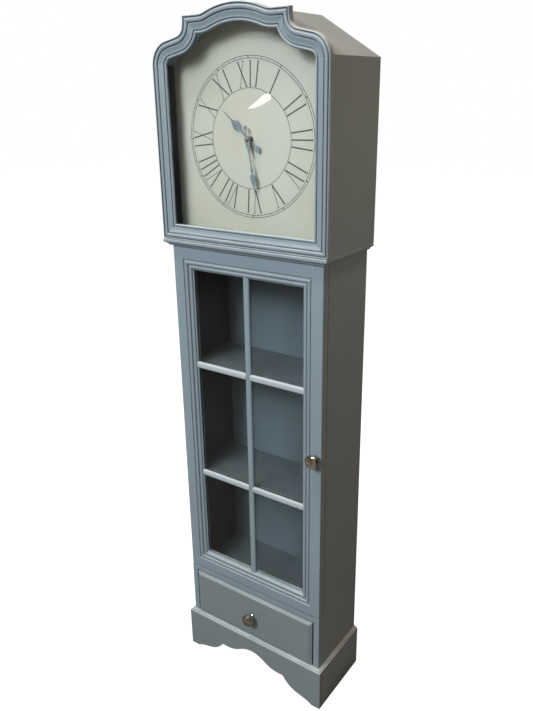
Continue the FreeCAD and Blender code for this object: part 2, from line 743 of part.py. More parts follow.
def hood_back():
    """Back panel with a rounded hole, through which the movement is reached."""
    panel = prism(gable_outline(hood_inner_half + rebate, panel_front, 0), BACKWARD * back_panel)
    hole = box(-access_width / 2, access_width / 2, panel_front - cut_over, back + cut_over,
               dial_z - access_height / 2, dial_z + access_height / 2)
    hole = hole.makeFillet(access_corner, [edge for edge in hole.Edges if is_along_y(edge)])
    return panel.cut(hole)


def is_along_y(edge):
    ends = edge.Vertexes
    return abs(ends[0].Y - ends[1].Y) > fit


def neck_centre():
    """Middle of the hollow curve between a shoulder and its ear, on the right-hand side."""
    slope = math.radians(shoulder_slope)
    x = ear_half + neck_radius
    shoulder_end_x = frame_half - shoulder_radius + shoulder_radius * math.sin(slope)
    shoulder_end_z = shoulder_z() + shoulder_radius * math.cos(slope)
    run = shoulder_end_x - (x - neck_radius * math.sin(slope))
    return x, shoulder_end_z + run * math.tan(slope) + neck_radius * math.cos(slope)


def shoulder_z():
    return hood_floor_top + shoulder_height


def on_circle(centre_x, centre_z, radius, degrees, y):
    angle = math.radians(degrees)
    return Vec(centre_x + radius * math.cos(angle), y, centre_z + radius * math.sin(angle))


def arch_row(inset, y):
    """Curved top line of the frame, a distance inside its outer edge, from the right spring to the left.

    Each step is a start, a point on the way and an end. A straight step has no point on the way.
    """
    neck_x, neck_z = neck_centre()
    ear_z = hood_floor_top + ear_height
    slope = shoulder_slope
    shoulder_x = frame_half - shoulder_radius
    radius = shoulder_radius - inset
    spring = Vec(frame_half - inset, y, shoulder_z())
    shoulder_mid = on_circle(shoulder_x, shoulder_z(), radius, (90 - slope) / 2, y)
    shoulder_end = on_circle(shoulder_x, shoulder_z(), radius, 90 - slope, y)
    hollow = neck_radius + inset
    neck_start = on_circle(neck_x, neck_z, hollow, 270 - slope, y)
    neck_mid = on_circle(neck_x, neck_z, hollow, (270 - slope + 180 + ear_turn) / 2, y)
    neck_end = on_circle(neck_x, neck_z, hollow, 180 + ear_turn, y)
    ear = ear_point(ear_z - inset, hollow, y)
    ear_mid = ear_point((ear_z - inset + neck_end.z) / 2, hollow, y)
    turn = 2 * math.degrees(math.atan(crown_rise / crown_foot_half))
    crown_radius = crown_foot_half / math.sin(math.radians(turn)) - crown_hollow_radius
    foot_z = ear_z + crown_hollow_radius
    foot_radius = crown_hollow_radius + inset
    foot = on_circle(crown_foot_half, foot_z, foot_radius, 270, y)
    foot_mid = on_circle(crown_foot_half, foot_z, foot_radius, 270 - turn / 2, y)
    foot_end = on_circle(crown_foot_half, foot_z, foot_radius, 270 - turn, y)
    crown = on_circle(0, ear_z + crown_rise - crown_radius, crown_radius - inset, 90, y)
    right = [(spring, shoulder_mid, shoulder_end), (shoulder_end, None, neck_start),
             (neck_start, neck_mid, neck_end), (neck_end, ear_mid, ear), (ear, None, foot),
             (foot, foot_mid, foot_end)]
    left = [tuple(flipped(point) for point in reversed(step)) for step in reversed(right)]
    return right + [(foot_end, crown, flipped(foot_end))] + left


def ear_point(z, hollow, y):
    """Point on the ear's upright edge, or lower down on the neck's curve, at the height z."""
    neck_x, neck_z = neck_centre()
    drop = max(neck_z - z, 0)
    return Vec(neck_x - math.sqrt(hollow * hollow - drop * drop), y, z)


def flipped(point):
    return None if point is None else Vec(-point.x, point.y, point.z)


def step_edge(step):
    start, middle, end = step
    if middle is None:
        return Part.makeLine(start, end)
    return Part.Arc(start, middle, end).toShape()


def ruled_solid(rows):
    """Solid with ruled faces between rows of matching steps, closed by a flat face at each end."""
    edges = [[step_edge(step) for step in row] for row in rows]
    faces = []
    for row, next_row in zip(edges, edges[1:] + edges[:1]):
        faces += [Part.makeRuledSurface(edge, next_edge) for edge, next_edge in zip(row, next_row)]
    faces.append(Part.Face(closed_wire([row[0][0] for row in rows])))
    faces.append(Part.Face(closed_wire([row[-1][2] for row in rows])))
    return closed_solid(faces)


def frame_section():
    """Section through the frame: distance in from its outer edge and depth behind its face."""
    face = [(across * frame_width, down * frame_thickness) for across, down in frame_shares]
    rebate_start = frame_width - glass_lap
    rebate_floor = frame_thickness - glass
    return face + [(frame_width, rebate_floor), (rebate_start, rebate_floor),
                   (rebate_start, frame_thickness), (0, frame_thickness)]


def dial_frame():
    section = frame_section()
    bottom_right = [Vec(frame_half - across, frame_front + down, hood_floor_top + across)
                    for across, down in section]
    bottom_left = [flipped(point) for point in bottom_right]
    top_right = [Vec(point.x, point.y, shoulder_z()) for point in bottom_right]
    post = mitred_bar(bottom_right, top_right)
    arch = ruled_solid([arch_row(across, frame_front + down) for across, down in section])
    save("hood_frame_bottom", mitred_bar(bottom_left, bottom_right))
    save("hood_frame_right", post)
    save("hood_frame_left", mirrored(post))
    save("hood_frame_arch", arch)


def hood_glass():
    """Pane cut to the frame's shape, let into the rebate at its back."""
    inset = frame_width - glass_lap + fit
    y = hood_front - glass
    row = arch_row(inset, y)
    low = hood_floor_top + inset
    right_low = Vec(frame_half - inset, y, low)
    edges = [step_edge(step) for step in row]
    edges.append(Part.makeLine(row[-1][2], flipped(right_low)))
    edges.append(Part.makeLine(flipped(right_low), right_low))
    edges.append(Part.makeLine(right_low, row[0][0]))
    return Part.Face(Part.Wire(edges)).extrude(BACKWARD * glass)


def glass_clips():
    """Small plates on the frame's back that lie over the edge of the glass."""
    outer = frame_half - frame_width + glass_lap + clip_length / 2
    inner = outer - clip_length
    heights = [hood_floor_top + shoulder_height * share for share in clip_height_shares]
    clips = [box(inner, outer, hood_front, hood_front + clip_thickness,
                 z - clip_width / 2, z + clip_width / 2) for z in heights]
    return clips + [mirrored(clip) for clip in clips]


def turned_about_dial(shape, degrees):
    """Shape turned clockwise, as seen from the front, about the hands' axis."""
    copy = shape.copy()
    copy.rotate(Vec(0, dial_face, dial_z), BACKWARD, degrees)
    return copy


def ink_stroke(start, end, width):
    """Straight inked line between two places on the dial, given as (across, up) from its middle."""
    start_x, start_z = start
    end_x, end_z = end
    length = math.hypot(end_x - start_x, end_z - start_z)
    side_x = (end_z - start_z) / length * width / 2
    side_z = -(end_x - start_x) / length * width / 2
    corners = [(start_x - side_x, start_z - side_z), (start_x + side_x, start_z + side_z),
               (end_x + side_x, end_z + side_z), (end_x - side_x, end_z - side_z)]
    return prism([Vec(x, dial_face - ink, dial_z + z) for x, z in corners], BACKWARD * ink)


def letter_strokes(letter):
    """Strokes of one upright letter that stands over the middle of the dial."""
    low = numeral_foot_radius
    high = numeral_head_radius
    if letter == "I":
        ends = [((0, low), (0, high), thick_stroke)]
    elif letter == "V":
        ends = [((0, low), (-v_head_half, high), thick_stroke), ((0, low), (v_head_half, high), thin_stroke)]
    else:
        ends = [((x_foot_half, low), (-x_head_half, high), thick_stroke),
                ((-x_foot_half, low), (x_head_half, high), thin_stroke)]
    strokes = [ink_stroke(start, end, width) for start, end, width in ends]
    feet = sorted({place for start, end, width in ends for place in (start, end)})
    for x, z in feet:
        if letter == "V" and z == low:
            continue
        middle = z + serif_line / 2 if z == low else z - serif_line / 2
        strokes.append(ink_stroke((x - serif_length / 2, middle), (x + serif_length / 2, middle), serif_line))
    return strokes


def numeral(letters, degrees):
    """Hour numeral with its letters side by side round the dial, each standing on the centre."""
    strokes = []
    for letter, turn in letters:
        strokes += [turned_about_dial(stroke, degrees + turn) for stroke in letter_strokes(letter)]
    return fused(strokes)


def ring(radius):
    start = Vec(0, dial_face - ink, dial_z)
    return tube(radius + ring_line / 2, radius - ring_line / 2, ink, start, BACKWARD)


def minute_track():
    """Two rings with the sixty minute lines between them."""
    lines = []
    for minute in range(60):
        width = hour_tick if minute % 5 == 0 else minute_tick
        line = ink_stroke((0, minute_ring_inner_radius), (0, minute_ring_radius), width)
        lines.append(turned_about_dial(line, minute * 6))
    return fused([ring(minute_ring_radius), ring(minute_ring_inner_radius)] + lines)


def dial():
    hole = rod(bush_radius + fit, dial_board, Vec(0, dial_face, dial_z), BACKWARD)
    plate = prism(gable_outline(hood_inner_half - fit, dial_face, fit), BACKWARD * dial_board).cut(hole)
    hours = [numeral(letters, hour * 30) for hour, letters in enumerate(numerals)]
    printed = [minute_track(), ring(centre_ring_radius)] + hours
    save("dial_board", plate)
    save("dial_print", *[turned_about_dial(line, dial_turn) for line in printed])


def movement():
    """Square case behind the dial with a battery bay, its threaded bush through the dial, and its nut."""
    half = movement_size / 2
    body = box(-half, half, dial_back, movement_back, dial_z - half, dial_z + half)
    body = body.makeFillet(movement_round, [edge for edge in body.Edges if is_along_y(edge)])
    bush = rod(bush_radius, dial_back - bush_front, Vec(0, bush_front, dial_z), BACKWARD)
    bore_radius = hour_tube_radius + running
    bore = rod(bore_radius, shaft_end - bush_front, Vec(0, bush_front, dial_z), BACKWARD)
    bay_half = battery_radius + fit
    bay_end = battery_length / 2 + battery_tip + fit
    bay_z = dial_z - battery_drop
    bay = box(-bay_end, bay_end, movement_back - movement_thickness + movement_wall, movement_back + cut_over,
              bay_z - bay_half, bay_z + bay_half)
    socket_radius = setting_shaft_radius + running
    socket = rod(socket_radius, setting_shaft_length, setting_place(movement_back), -BACKWARD)
    nut_front = dial_face - nut_thickness
    nut_radius = nut_half_flat / math.cos(math.radians(30))
    corners = [on_circle(0, dial_z, nut_radius, 60 * i, nut_front) for i in range(6)]
    nut = prism(corners, BACKWARD * nut_thickness)
    save("movement_case", fused([body, bush]).cut(Part.makeCompound([bore, bay, socket])))
    save("movement_nut", nut.cut(rod(bush_radius, nut_thickness, Vec(0, nut_front, dial_z), BACKWARD)))
    save("battery", battery(bay_z))


def battery(z):
    y = dial_back + movement_wall + fit + battery_radius
    start = Vec(-battery_length / 2, y, z)
    tip = rod(battery_tip_radius, battery_length + battery_tip, start, RIGHT)
    return fused([rod(battery_radius, battery_length, start, RIGHT), tip])


def setting_place(y):
    return Vec(setting_wheel_offset, y, dial_z)


def setting_wheel():
    """Ribbed wheel on the movement's back that sets the hands, with its short shaft."""
    face = setting_place(movement_back + fit)
    ribs = []
    for i in range(setting_rib_count):
        place = on_circle(face.x, face.z, setting_wheel_radius, 360 * i / setting_rib_count, face.y)
        ribs.append(rod(setting_rib_radius, setting_wheel_thickness, place, BACKWARD))
    wheel = rod(setting_wheel_radius, setting_wheel_thickness, face, BACKWARD)
    shaft = rod(setting_shaft_radius, setting_shaft_length, face, -BACKWARD)
    return fused([wheel, shaft] + ribs)


def hand_edge(runs, length, half_width, y):
    """Curves up the right-hand edge of a hand, from beside its axis to its tip."""
    return [curve_through([Vec(across * half_width, y, dial_z + up * length) for up, across in run])
            for run in runs]


def hand(runs, length, half_width, back_y):
    """Flat blade that points to twelve, with its round boss."""
    y = back_y - hand_thickness
    right = hand_edge(runs, length, half_width, y)
    left = [mirrored(edge) for edge in right]
    tip_half = runs[-1][-1][1] * half_width
    root_half = runs[0][0][1] * half_width
    tip = Part.makeLine(Vec(tip_half, y, dial_z + length), Vec(-tip_half, y, dial_z + length))
    root = Part.makeLine(Vec(root_half, y, dial_z), Vec(-root_half, y, dial_z))
    outline = Part.Wire(Part.__sortEdges__(right + left + [tip, root]))
    blade = Part.Face(outline).extrude(BACKWARD * hand_thickness)
    return [blade, rod(hand_boss_radius, hand_thickness, Vec(0, y, dial_z), BACKWARD)]


def hand_tail(length, radius, half_width, back_y):
    """Stem on the other side of the axis, with a round disc at its end."""
    y = back_y - hand_thickness
    stem = box(-half_width, half_width, y, back_y, dial_z - length, dial_z)
    return [stem, rod(radius, hand_thickness, Vec(0, y, dial_z - length), BACKWARD)]


def hour_hand():
    """Hour hand on its tube, which turns in the movement's bush."""
    blade = hand(hour_edge_shares, hour_hand_length, hour_hand_half_width, hour_hand_back)
    tail = hand_tail(hour_tail_length, hour_tail_radius, hour_tail_half_width, hour_hand_back)
    start = Vec(0, hour_hand_back, dial_z)
    sleeve = rod(hour_tube_radius, shaft_end - fit - hour_hand_back, start, BACKWARD)
    seat = rod(hand_seat_radius, hand_seat, start, BACKWARD)
    bore_start = Vec(0, hour_hand_back - hand_thickness, dial_z)
    bore = rod(minute_shaft_radius + running, shaft_end - bore_start.y, bore_start, BACKWARD)
    return turned_about_dial(fused(blade + tail + [sleeve, seat]).cut(bore), hour_hand_angle)


def minute_hand():
    """Minute hand on its shaft, which turns inside the hour hand's tube."""
    blade = hand(minute_edge_shares, minute_hand_length, minute_hand_half_width, minute_hand_back)
    tail = hand_tail(minute_tail_length, minute_tail_radius, minute_tail_half_width, minute_hand_back)
    start = Vec(0, minute_hand_back, dial_z)
    shaft = rod(minute_shaft_radius, shaft_end - fit - minute_hand_back, start, BACKWARD)
    seat = rod(hand_seat_radius, hand_seat, start, BACKWARD)
    return turned_about_dial(fused(blade + tail + [shaft, seat]), minute_hand_angle)


def hand_cap():
    """Small domed nut on the front of the minute hand."""
    face = minute_hand_back - hand_thickness
    dome = Part.makeSphere(cap_radius, Vec(0, face, dial_z))
    keep = rod(cap_radius, cap_reach, Vec(0, face - cap_reach, dial_z), BACKWARD)
    return dome.common(keep)


def clock():
    dial()
    movement()
    save("time_setting_wheel", setting_wheel())
    save("hour_hand", hour_hand())
    save("minute_hand", minute_hand())
    save("hand_cap", hand_cap())


os.makedirs("parts", exist_ok=True)
plinth()
case_boards()
drawer()
door()
door_catch()
hood_shell()
dial_frame()
save("hood_glass", hood_glass())
save("glass_clips", *glass_clips())
clock()
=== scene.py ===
# %% [markdown]
# # A painted clock cabinet
# A tall cabinet stands on a plinth with a shaped skirt. It has a drawer, a glazed cupboard and a hood
# with a clock behind glass. Its pieces come from the construction model, already in their places. This
# lesson gives every piece its finish, adds a few small pieces that only the eye needs, and sets up the
# room and the camera.

# %% Load the cabinet
import math

import bpy
import bmesh
from mathutils import Matrix, Vector


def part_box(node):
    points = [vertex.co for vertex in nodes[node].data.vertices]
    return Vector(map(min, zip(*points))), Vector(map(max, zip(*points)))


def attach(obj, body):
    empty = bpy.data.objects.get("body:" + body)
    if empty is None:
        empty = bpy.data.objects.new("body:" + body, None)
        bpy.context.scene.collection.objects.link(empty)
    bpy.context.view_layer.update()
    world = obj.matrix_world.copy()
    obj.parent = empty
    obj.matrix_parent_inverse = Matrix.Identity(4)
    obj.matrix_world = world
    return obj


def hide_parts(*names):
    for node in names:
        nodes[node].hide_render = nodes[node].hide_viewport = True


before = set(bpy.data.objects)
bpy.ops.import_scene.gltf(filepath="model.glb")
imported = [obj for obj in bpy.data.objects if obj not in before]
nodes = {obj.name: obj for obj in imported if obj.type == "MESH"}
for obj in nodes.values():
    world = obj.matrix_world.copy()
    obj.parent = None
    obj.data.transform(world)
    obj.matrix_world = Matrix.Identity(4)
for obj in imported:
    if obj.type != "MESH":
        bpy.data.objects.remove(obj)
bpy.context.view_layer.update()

scene = bpy.context.scene

# %% [markdown]
# ## Small helpers for node trees
# A finish in Blender is a tree of nodes. A few helpers keep the trees short: they add a node and wire it,
# mix two colours, stretch a value from one range to another, or start a noise. Colours are written as
# they look on a screen, from 0 to 255, and turned into the plain light values that the renderer works
# with.

# %% Colours as seen on a screen
MM = 0.001


def screen_colour(red, green, blue):
    """Colour as read from a screen, turned into linear light."""
    shares = [channel / 255 for channel in (red, green, blue)]
    linear = [s / 12.92 if s <= 0.04045 else ((s + 0.055) / 1.055) ** 2.4 for s in shares]
    return (*linear, 1.0)


def shaded(colour, factor):
    """Colour made darker or paler by a factor."""
    return (*[min(channel * factor, 1.0) for channel in colour[:3]], 1.0)


print("middle grey:", [round(v, 3) for v in screen_colour(128, 128, 128)])

# %% Nodes and links
def add_node(tree, kind, inputs=None, **settings):
    """Node with its settings made, and each input given a value or a link from another node."""
    node = tree.nodes.new(kind)
    for setting, value in settings.items():
        setattr(node, setting, value)
    for name, value in (inputs or {}).items():
        if isinstance(value, bpy.types.NodeSocket):
            tree.links.new(value, node.inputs[name])
        else:
            node.inputs[name].default_value = value
    return node


def mixed(tree, factor, first, second):
    """Colour between two colours. A factor of 0 gives the first one."""
    mix = add_node(tree, "ShaderNodeMix", data_type="RGBA")
    for socket, value in ((mix.inputs[0], factor), (mix.inputs[6], first), (mix.inputs[7], second)):
        if isinstance(value, bpy.types.NodeSocket):
            tree.links.new(value, socket)
        else:
            socket.default_value = value
    return mix.outputs[2]


def stretched(tree, value, low, high, new_low, new_high):
    """Value moved from the range low to high into a new range, and held inside it."""
    ranges = {"Value": value, "From Min": low, "From Max": high, "To Min": new_low, "To Max": new_high}
    return add_node(tree, "ShaderNodeMapRange", ranges).outputs["Result"]


def combined(tree, operation, first, second):
    """Result of a sum or a comparison of two values."""
    return add_node(tree, "ShaderNodeMath", {0: first, 1: second}, operation=operation).outputs[0]


def object_place(tree):
    """Place of a point on the object, in metres."""
    return add_node(tree, "ShaderNodeTexCoord").outputs["Object"]


def noise(tree, place, scale, detail, **inputs):
    """Cloudy value between 0 and 1. The scale is the number of clouds in a metre."""
    values = {"Vector": place, "Scale": scale, "Detail": detail, **inputs}
    return add_node(tree, "ShaderNodeTexNoise", values).outputs["Fac"]


print("helpers ready")

# %% A group with named sockets
def new_group(name, inputs, outputs):
    """Empty node group. Inputs have a name, a kind and a value; outputs have a name and a kind."""
    tree = bpy.data.node_groups.new(name, "ShaderNodeTree")
    for title, kind, value in inputs:
        tree.interface.new_socket(title, in_out="INPUT", socket_type=kind).default_value = value
    for title, kind in outputs:
        tree.interface.new_socket(title, in_out="OUTPUT", socket_type=kind)
    return tree, tree.nodes.new("NodeGroupInput").outputs, tree.nodes.new("NodeGroupOutput").inputs


def use_group(tree, group, **values):
    """The group placed in a material with its own values; returns its outputs."""
    node = add_node(tree, "ShaderNodeGroup", node_tree=group)
    for name, value in values.items():
        node.inputs[name.replace("_", " ").capitalize()].default_value = value
    return node.outputs


FLOAT = "NodeSocketFloat"
VECTOR = "NodeSocketVector"
print("sockets:", FLOAT, VECTOR)

# %% [markdown]
# ## Effects that several finishes share
# Paint put on with a brush or a roller has faint streaks along the board, and its tone drifts from place
# to place. A noise texture that is squeezed across the board and drawn out along it gives the streaks,
# and a soft wide noise gives the drift. Both are in one group, so that every board can be brushed its own
# way.

# %% Brush marks
PEEL_SHARE = 0.35      # height of the fine orange peel beside the streaks


def make_brush_marks():
    inputs = [("Stretch", VECTOR, (300, 300, 12)), ("Drift scale", FLOAT, 5)]
    outputs = [("Streaks", FLOAT), ("Drift", FLOAT), ("Height", FLOAT)]
    tree, start, end = new_group("Brush marks", inputs, outputs)
    place = object_place(tree)
    drawn = add_node(tree, "ShaderNodeVectorMath", {0: place, 1: start["Stretch"]}, operation="MULTIPLY")
    streaks = noise(tree, drawn.outputs[0], scale=1.0, detail=3.0)
    peel = noise(tree, place, scale=420.0, detail=1.0)
    height = combined(tree, "MULTIPLY", peel, PEEL_SHARE)
    tree.links.new(streaks, end["Streaks"])
    tree.links.new(noise(tree, place, scale=start["Drift scale"], detail=2.0), end["Drift"])
    tree.links.new(combined(tree, "ADD", streaks, height), end["Height"])
    return tree


brush_marks = make_brush_marks()
print("group:", brush_marks.name)

# %% [markdown]
# The construction model has sharp edges, but sanded and painted wood never has. A Bevel node rounds the
# light on an edge without changing the mesh. Where the rounded direction departs from the flat one there
# is an edge, so the same node also shows where paint wears thin. A noise breaks that line up into small
# worn spots.

# %% Worn edges
def make_worn_edges():
    tree, start, end = new_group("Worn edges", [("Radius", FLOAT, 0.001), ("Wear", FLOAT, 0.5)],
                                 [("Mask", FLOAT), ("Ridge", FLOAT), ("Normal", VECTOR)])
    soft = add_node(tree, "ShaderNodeBevel", {"Radius": start["Radius"]}, samples=6).outputs["Normal"]
    flat = add_node(tree, "ShaderNodeNewGeometry").outputs["Normal"]
    likeness = add_node(tree, "ShaderNodeVectorMath", {0: soft, 1: flat}, operation="DOT_PRODUCT")
    edge = stretched(tree, likeness.outputs["Value"], 0.995, 0.90, 0.0, 1.0)
    spots = noise(tree, object_place(tree), scale=90.0, detail=4.0)
    broken = stretched(tree, spots, 0.48, 0.62, 0.0, 1.0)
    mask = combined(tree, "MULTIPLY", combined(tree, "MULTIPLY", edge, broken), start["Wear"])
    tree.links.new(mask, end["Mask"])
    # The whole edge line also goes out, for a painted highlight along every edge.
    tree.links.new(edge, end["Ridge"])
    tree.links.new(soft, end["Normal"])
    return tree


worn_edges = make_worn_edges()
print("group:", worn_edges.name)

# %% [markdown]
# Paint is made darker at the bottom of a groove, as painted shade where less light gets in. The Ambient
# Occlusion node tells how much of the space in front of a point is closed off within a short reach, and
# that is just what a groove, an inner corner or a narrow gap does.

# %% Painted shade in hollows
def make_hollow_shade():
    tree, start, end = new_group("Painted shade in hollows", [("Reach", FLOAT, 0.005), ("Amount", FLOAT, 0.5)],
                                 [("Mask", FLOAT)])
    open_share = add_node(tree, "ShaderNodeAmbientOcclusion", {"Distance": start["Reach"]}, samples=8)
    closed = stretched(tree, open_share.outputs["AO"], 0.42, 0.92, 1.0, 0.0)
    cloud = noise(tree, object_place(tree), scale=60.0, detail=3.0)
    patchy = stretched(tree, cloud, 0.3, 0.7, 0.75, 1.0)
    mask = combined(tree, "MULTIPLY", combined(tree, "MULTIPLY", closed, patchy), start["Amount"])
    tree.links.new(mask, end["Mask"])
    return tree


hollow_shade = make_hollow_shade()
print("group:", hollow_shade.name)

# %% [markdown]
# Some pieces are painted or printed on one side only. A thin panel is bare at the back, for instance. The
# direction of a face tells its side: the first output is one where a face looks to the front, and the
# second is dust together with a painted highlight, which lie in patches where a face looks up.

# %% Which way a face looks
def make_facing():
    tree, start, end = new_group("Facing", [("Dust", FLOAT, 0.2)], [("Front", FLOAT), ("Dust", FLOAT)])
    normal = add_node(tree, "ShaderNodeNewGeometry").outputs["Normal"]
    parts = add_node(tree, "ShaderNodeSeparateXYZ", {0: normal}).outputs
    cloud = noise(tree, object_place(tree), scale=14.0, detail=5.0)
    lying = stretched(tree, parts["Z"], 0.2, 0.75, 0.0, 1.0)
    patchy = stretched(tree, cloud, 0.3, 0.7, 0.4, 1.0)
    dust = combined(tree, "MULTIPLY", combined(tree, "MULTIPLY", lying, patchy), start["Dust"])
    tree.links.new(stretched(tree, parts["Y"], -0.4, -0.6, 0.0, 1.0), end["Front"])
    tree.links.new(dust, end["Dust"])
    return tree


facing = make_facing()
print("group:", facing.name)

# %% [markdown]
# The inside of the cupboard and of the hood is given a darker colour than the outside, a painted shade
# where little light reaches in. A side board is in both, so its colour is told apart by place: what lies
# behind a given depth and within a given distance from the middle plane is inside.

# %% Inner faces
def make_inner_faces():
    tree, start, end = new_group("Inner faces", [("Half width", FLOAT, 0.0), ("Depth", FLOAT, 0.0)],
                                 [("Mask", FLOAT)])
    parts = add_node(tree, "ShaderNodeSeparateXYZ", {0: object_place(tree)}).outputs
    across = combined(tree, "ABSOLUTE", parts["X"], 0.0)
    within = combined(tree, "LESS_THAN", across, start["Half width"])
    behind = combined(tree, "GREATER_THAN", parts["Y"], start["Depth"])
    tree.links.new(combined(tree, "MULTIPLY", within, behind), end["Mask"])
    return tree


inner_faces = make_inner_faces()
print("group:", inner_faces.name)

# %% [markdown]
# Bare pine has long wavy bands, drawn along the board, and small pores. Metal that is handled has dull
# patches, which are rougher too, and a fine grain. Each is a group with its own few inputs.

# %% Wood grain
def make_wood_grain():
    tree, start, end = new_group("Wood grain", [("Stretch", VECTOR, (40, 40, 3))],
                                 [("Bands", FLOAT), ("Pores", FLOAT)])
    drawn = add_node(tree, "ShaderNodeVectorMath", {0: object_place(tree), 1: start["Stretch"]},
                     operation="MULTIPLY").outputs[0]
    warp = add_node(tree, "ShaderNodeTexNoise", {"Vector": drawn, "Scale": 0.6, "Detail": 2.0})
    pushed = add_node(tree, "ShaderNodeVectorMath", {0: drawn, 1: warp.outputs["Color"]}, operation="ADD")
    waves = {"Vector": pushed.outputs[0], "Scale": 0.9, "Distortion": 2.5, "Detail": 2.0}
    bands = add_node(tree, "ShaderNodeTexWave", waves, bands_direction="DIAGONAL")
    tree.links.new(bands.outputs["Fac"], end["Bands"])
    tree.links.new(noise(tree, drawn, scale=9.0, detail=3.0), end["Pores"])
    return tree


wood_grain = make_wood_grain()
print("group:", wood_grain.name)

# %% Handled metal
def make_handled_metal():
    inputs = [("Scale", FLOAT, 300), ("Roughness", FLOAT, 0.2), ("Spread", FLOAT, 0.15)]
    outputs = [("Dullness", FLOAT), ("Roughness", FLOAT), ("Height", FLOAT)]
    tree, start, end = new_group("Handled metal", inputs, outputs)
    place = object_place(tree)
    patches = noise(tree, place, scale=start["Scale"], detail=4.0)
    dull = stretched(tree, patches, 0.42, 0.68, 0.0, 1.0)
    extra = combined(tree, "MULTIPLY", dull, start["Spread"])
    tree.links.new(dull, end["Dullness"])
    tree.links.new(combined(tree, "ADD", start["Roughness"], extra), end["Roughness"])
    tree.links.new(noise(tree, place, scale=1800.0, detail=2.0), end["Height"])
    return tree


handled_metal = make_handled_metal()
print("group:", handled_metal.name)

# %% [markdown]
# ## Finishes
# Every material starts the same way: a Principled shader that the later steps feed. A dictionary keeps
# track of which pieces have been dressed, so that none is forgotten.

# %% Start a material and dress pieces with it
dressed = {}


def new_material(name, **constants):
    """Material with a Principled shader. The constants are set on the shader's own sockets."""
    material = bpy.data.materials.new(name)
    material.use_nodes = True
    tree = material.node_tree
    shader = tree.nodes["Principled BSDF"]
    for title, value in constants.items():
        shader.inputs[title.replace("_", " ")].default_value = value
    return material, tree, shader.inputs


def dress(material, *names):
    """Give carried-over pieces their finish, on the object's own slot."""
    for name in names:
        nodes[name].material_slots[0].material = material
        dressed[name] = material.name
    print(material.name, "on", len(names), "pieces")


def set_bump(tree, shader, height, depth, base_normal=None):
    """Fine relief of a given depth in metres, on top of a normal if there is one."""
    values = {"Height": height, "Strength": 1.0, "Distance": depth}
    if base_normal is not None:
        values["Normal"] = base_normal
    tree.links.new(add_node(tree, "ShaderNodeBump", values).outputs["Normal"], shader["Normal"])


BRUSH_RELIEF = 0.06 * MM
PANEL_RELIEF = 0.015 * MM
GRAIN_RELIEF = 0.08 * MM
THIN_RELIEF = 0.01 * MM
METAL_RELIEF = 0.004 * MM
PLASTIC_RELIEF = 0.03 * MM
print("pieces to dress:", len(nodes))

# %% [markdown]
# The cabinet's paint is a satin blue-grey. It is put on along each board, so uprights and cross pieces
# need their streaks turned. The drawer front and the plinth are a touch greener, as if from another tin.
# Edges show a paler undercoat in small spots and a painted highlight all along. What lies flat holds some
# dust and a painted highlight. The round cross bars are palest of all: the frame's paint with a painted
# highlight for their lit tops. One function makes every version.

# %% Painted wood
ALONG_HEIGHT = (260, 260, 7)
ALONG_WIDTH = (7, 260, 260)
ALONG_DEPTH = (260, 7, 260)
EDGE_RADIUS = 0.9 * MM
BAR_EDGE_RADIUS = 2.7 * MM
EDGE_WEAR = 0.55
RIDGE_HIGHLIGHT = 0.38
HOLLOW_SHADE_REACH = 6 * MM
HOLLOW_SHADE_AMOUNT = 0.6
PAINT = screen_colour(123, 141, 152)
LOWER_PAINT = screen_colour(116, 129, 133)
# Colours inside are the blue-grey paint darkened as painted shade, deepest on the inner side walls.
INNER_PAINT_IN_SHADE = screen_colour(90, 104, 114)
INNER_SIDE_SHADE = screen_colour(22, 32, 42)
SHELF_SHADE = screen_colour(50, 60, 69)
# Pale undercoat for worn spots, also the colour of the painted highlight along edges.
UNDERCOAT_AND_HIGHLIGHT = screen_colour(196, 200, 198)
# Pale colour for dust on faces that look up, and a painted highlight where light from above falls on them.
DUST_AND_HIGHLIGHT = screen_colour(192, 206, 213)
# Colour of the painted shade in grooves, inner corners and narrow gaps.
HOLLOW_SHADE = screen_colour(66, 76, 84)
# The cross bars' paint is the frame's, made paler as a painted highlight for their lit tops.
BAR_PAINTED_HIGHLIGHT = screen_colour(162, 176, 185)


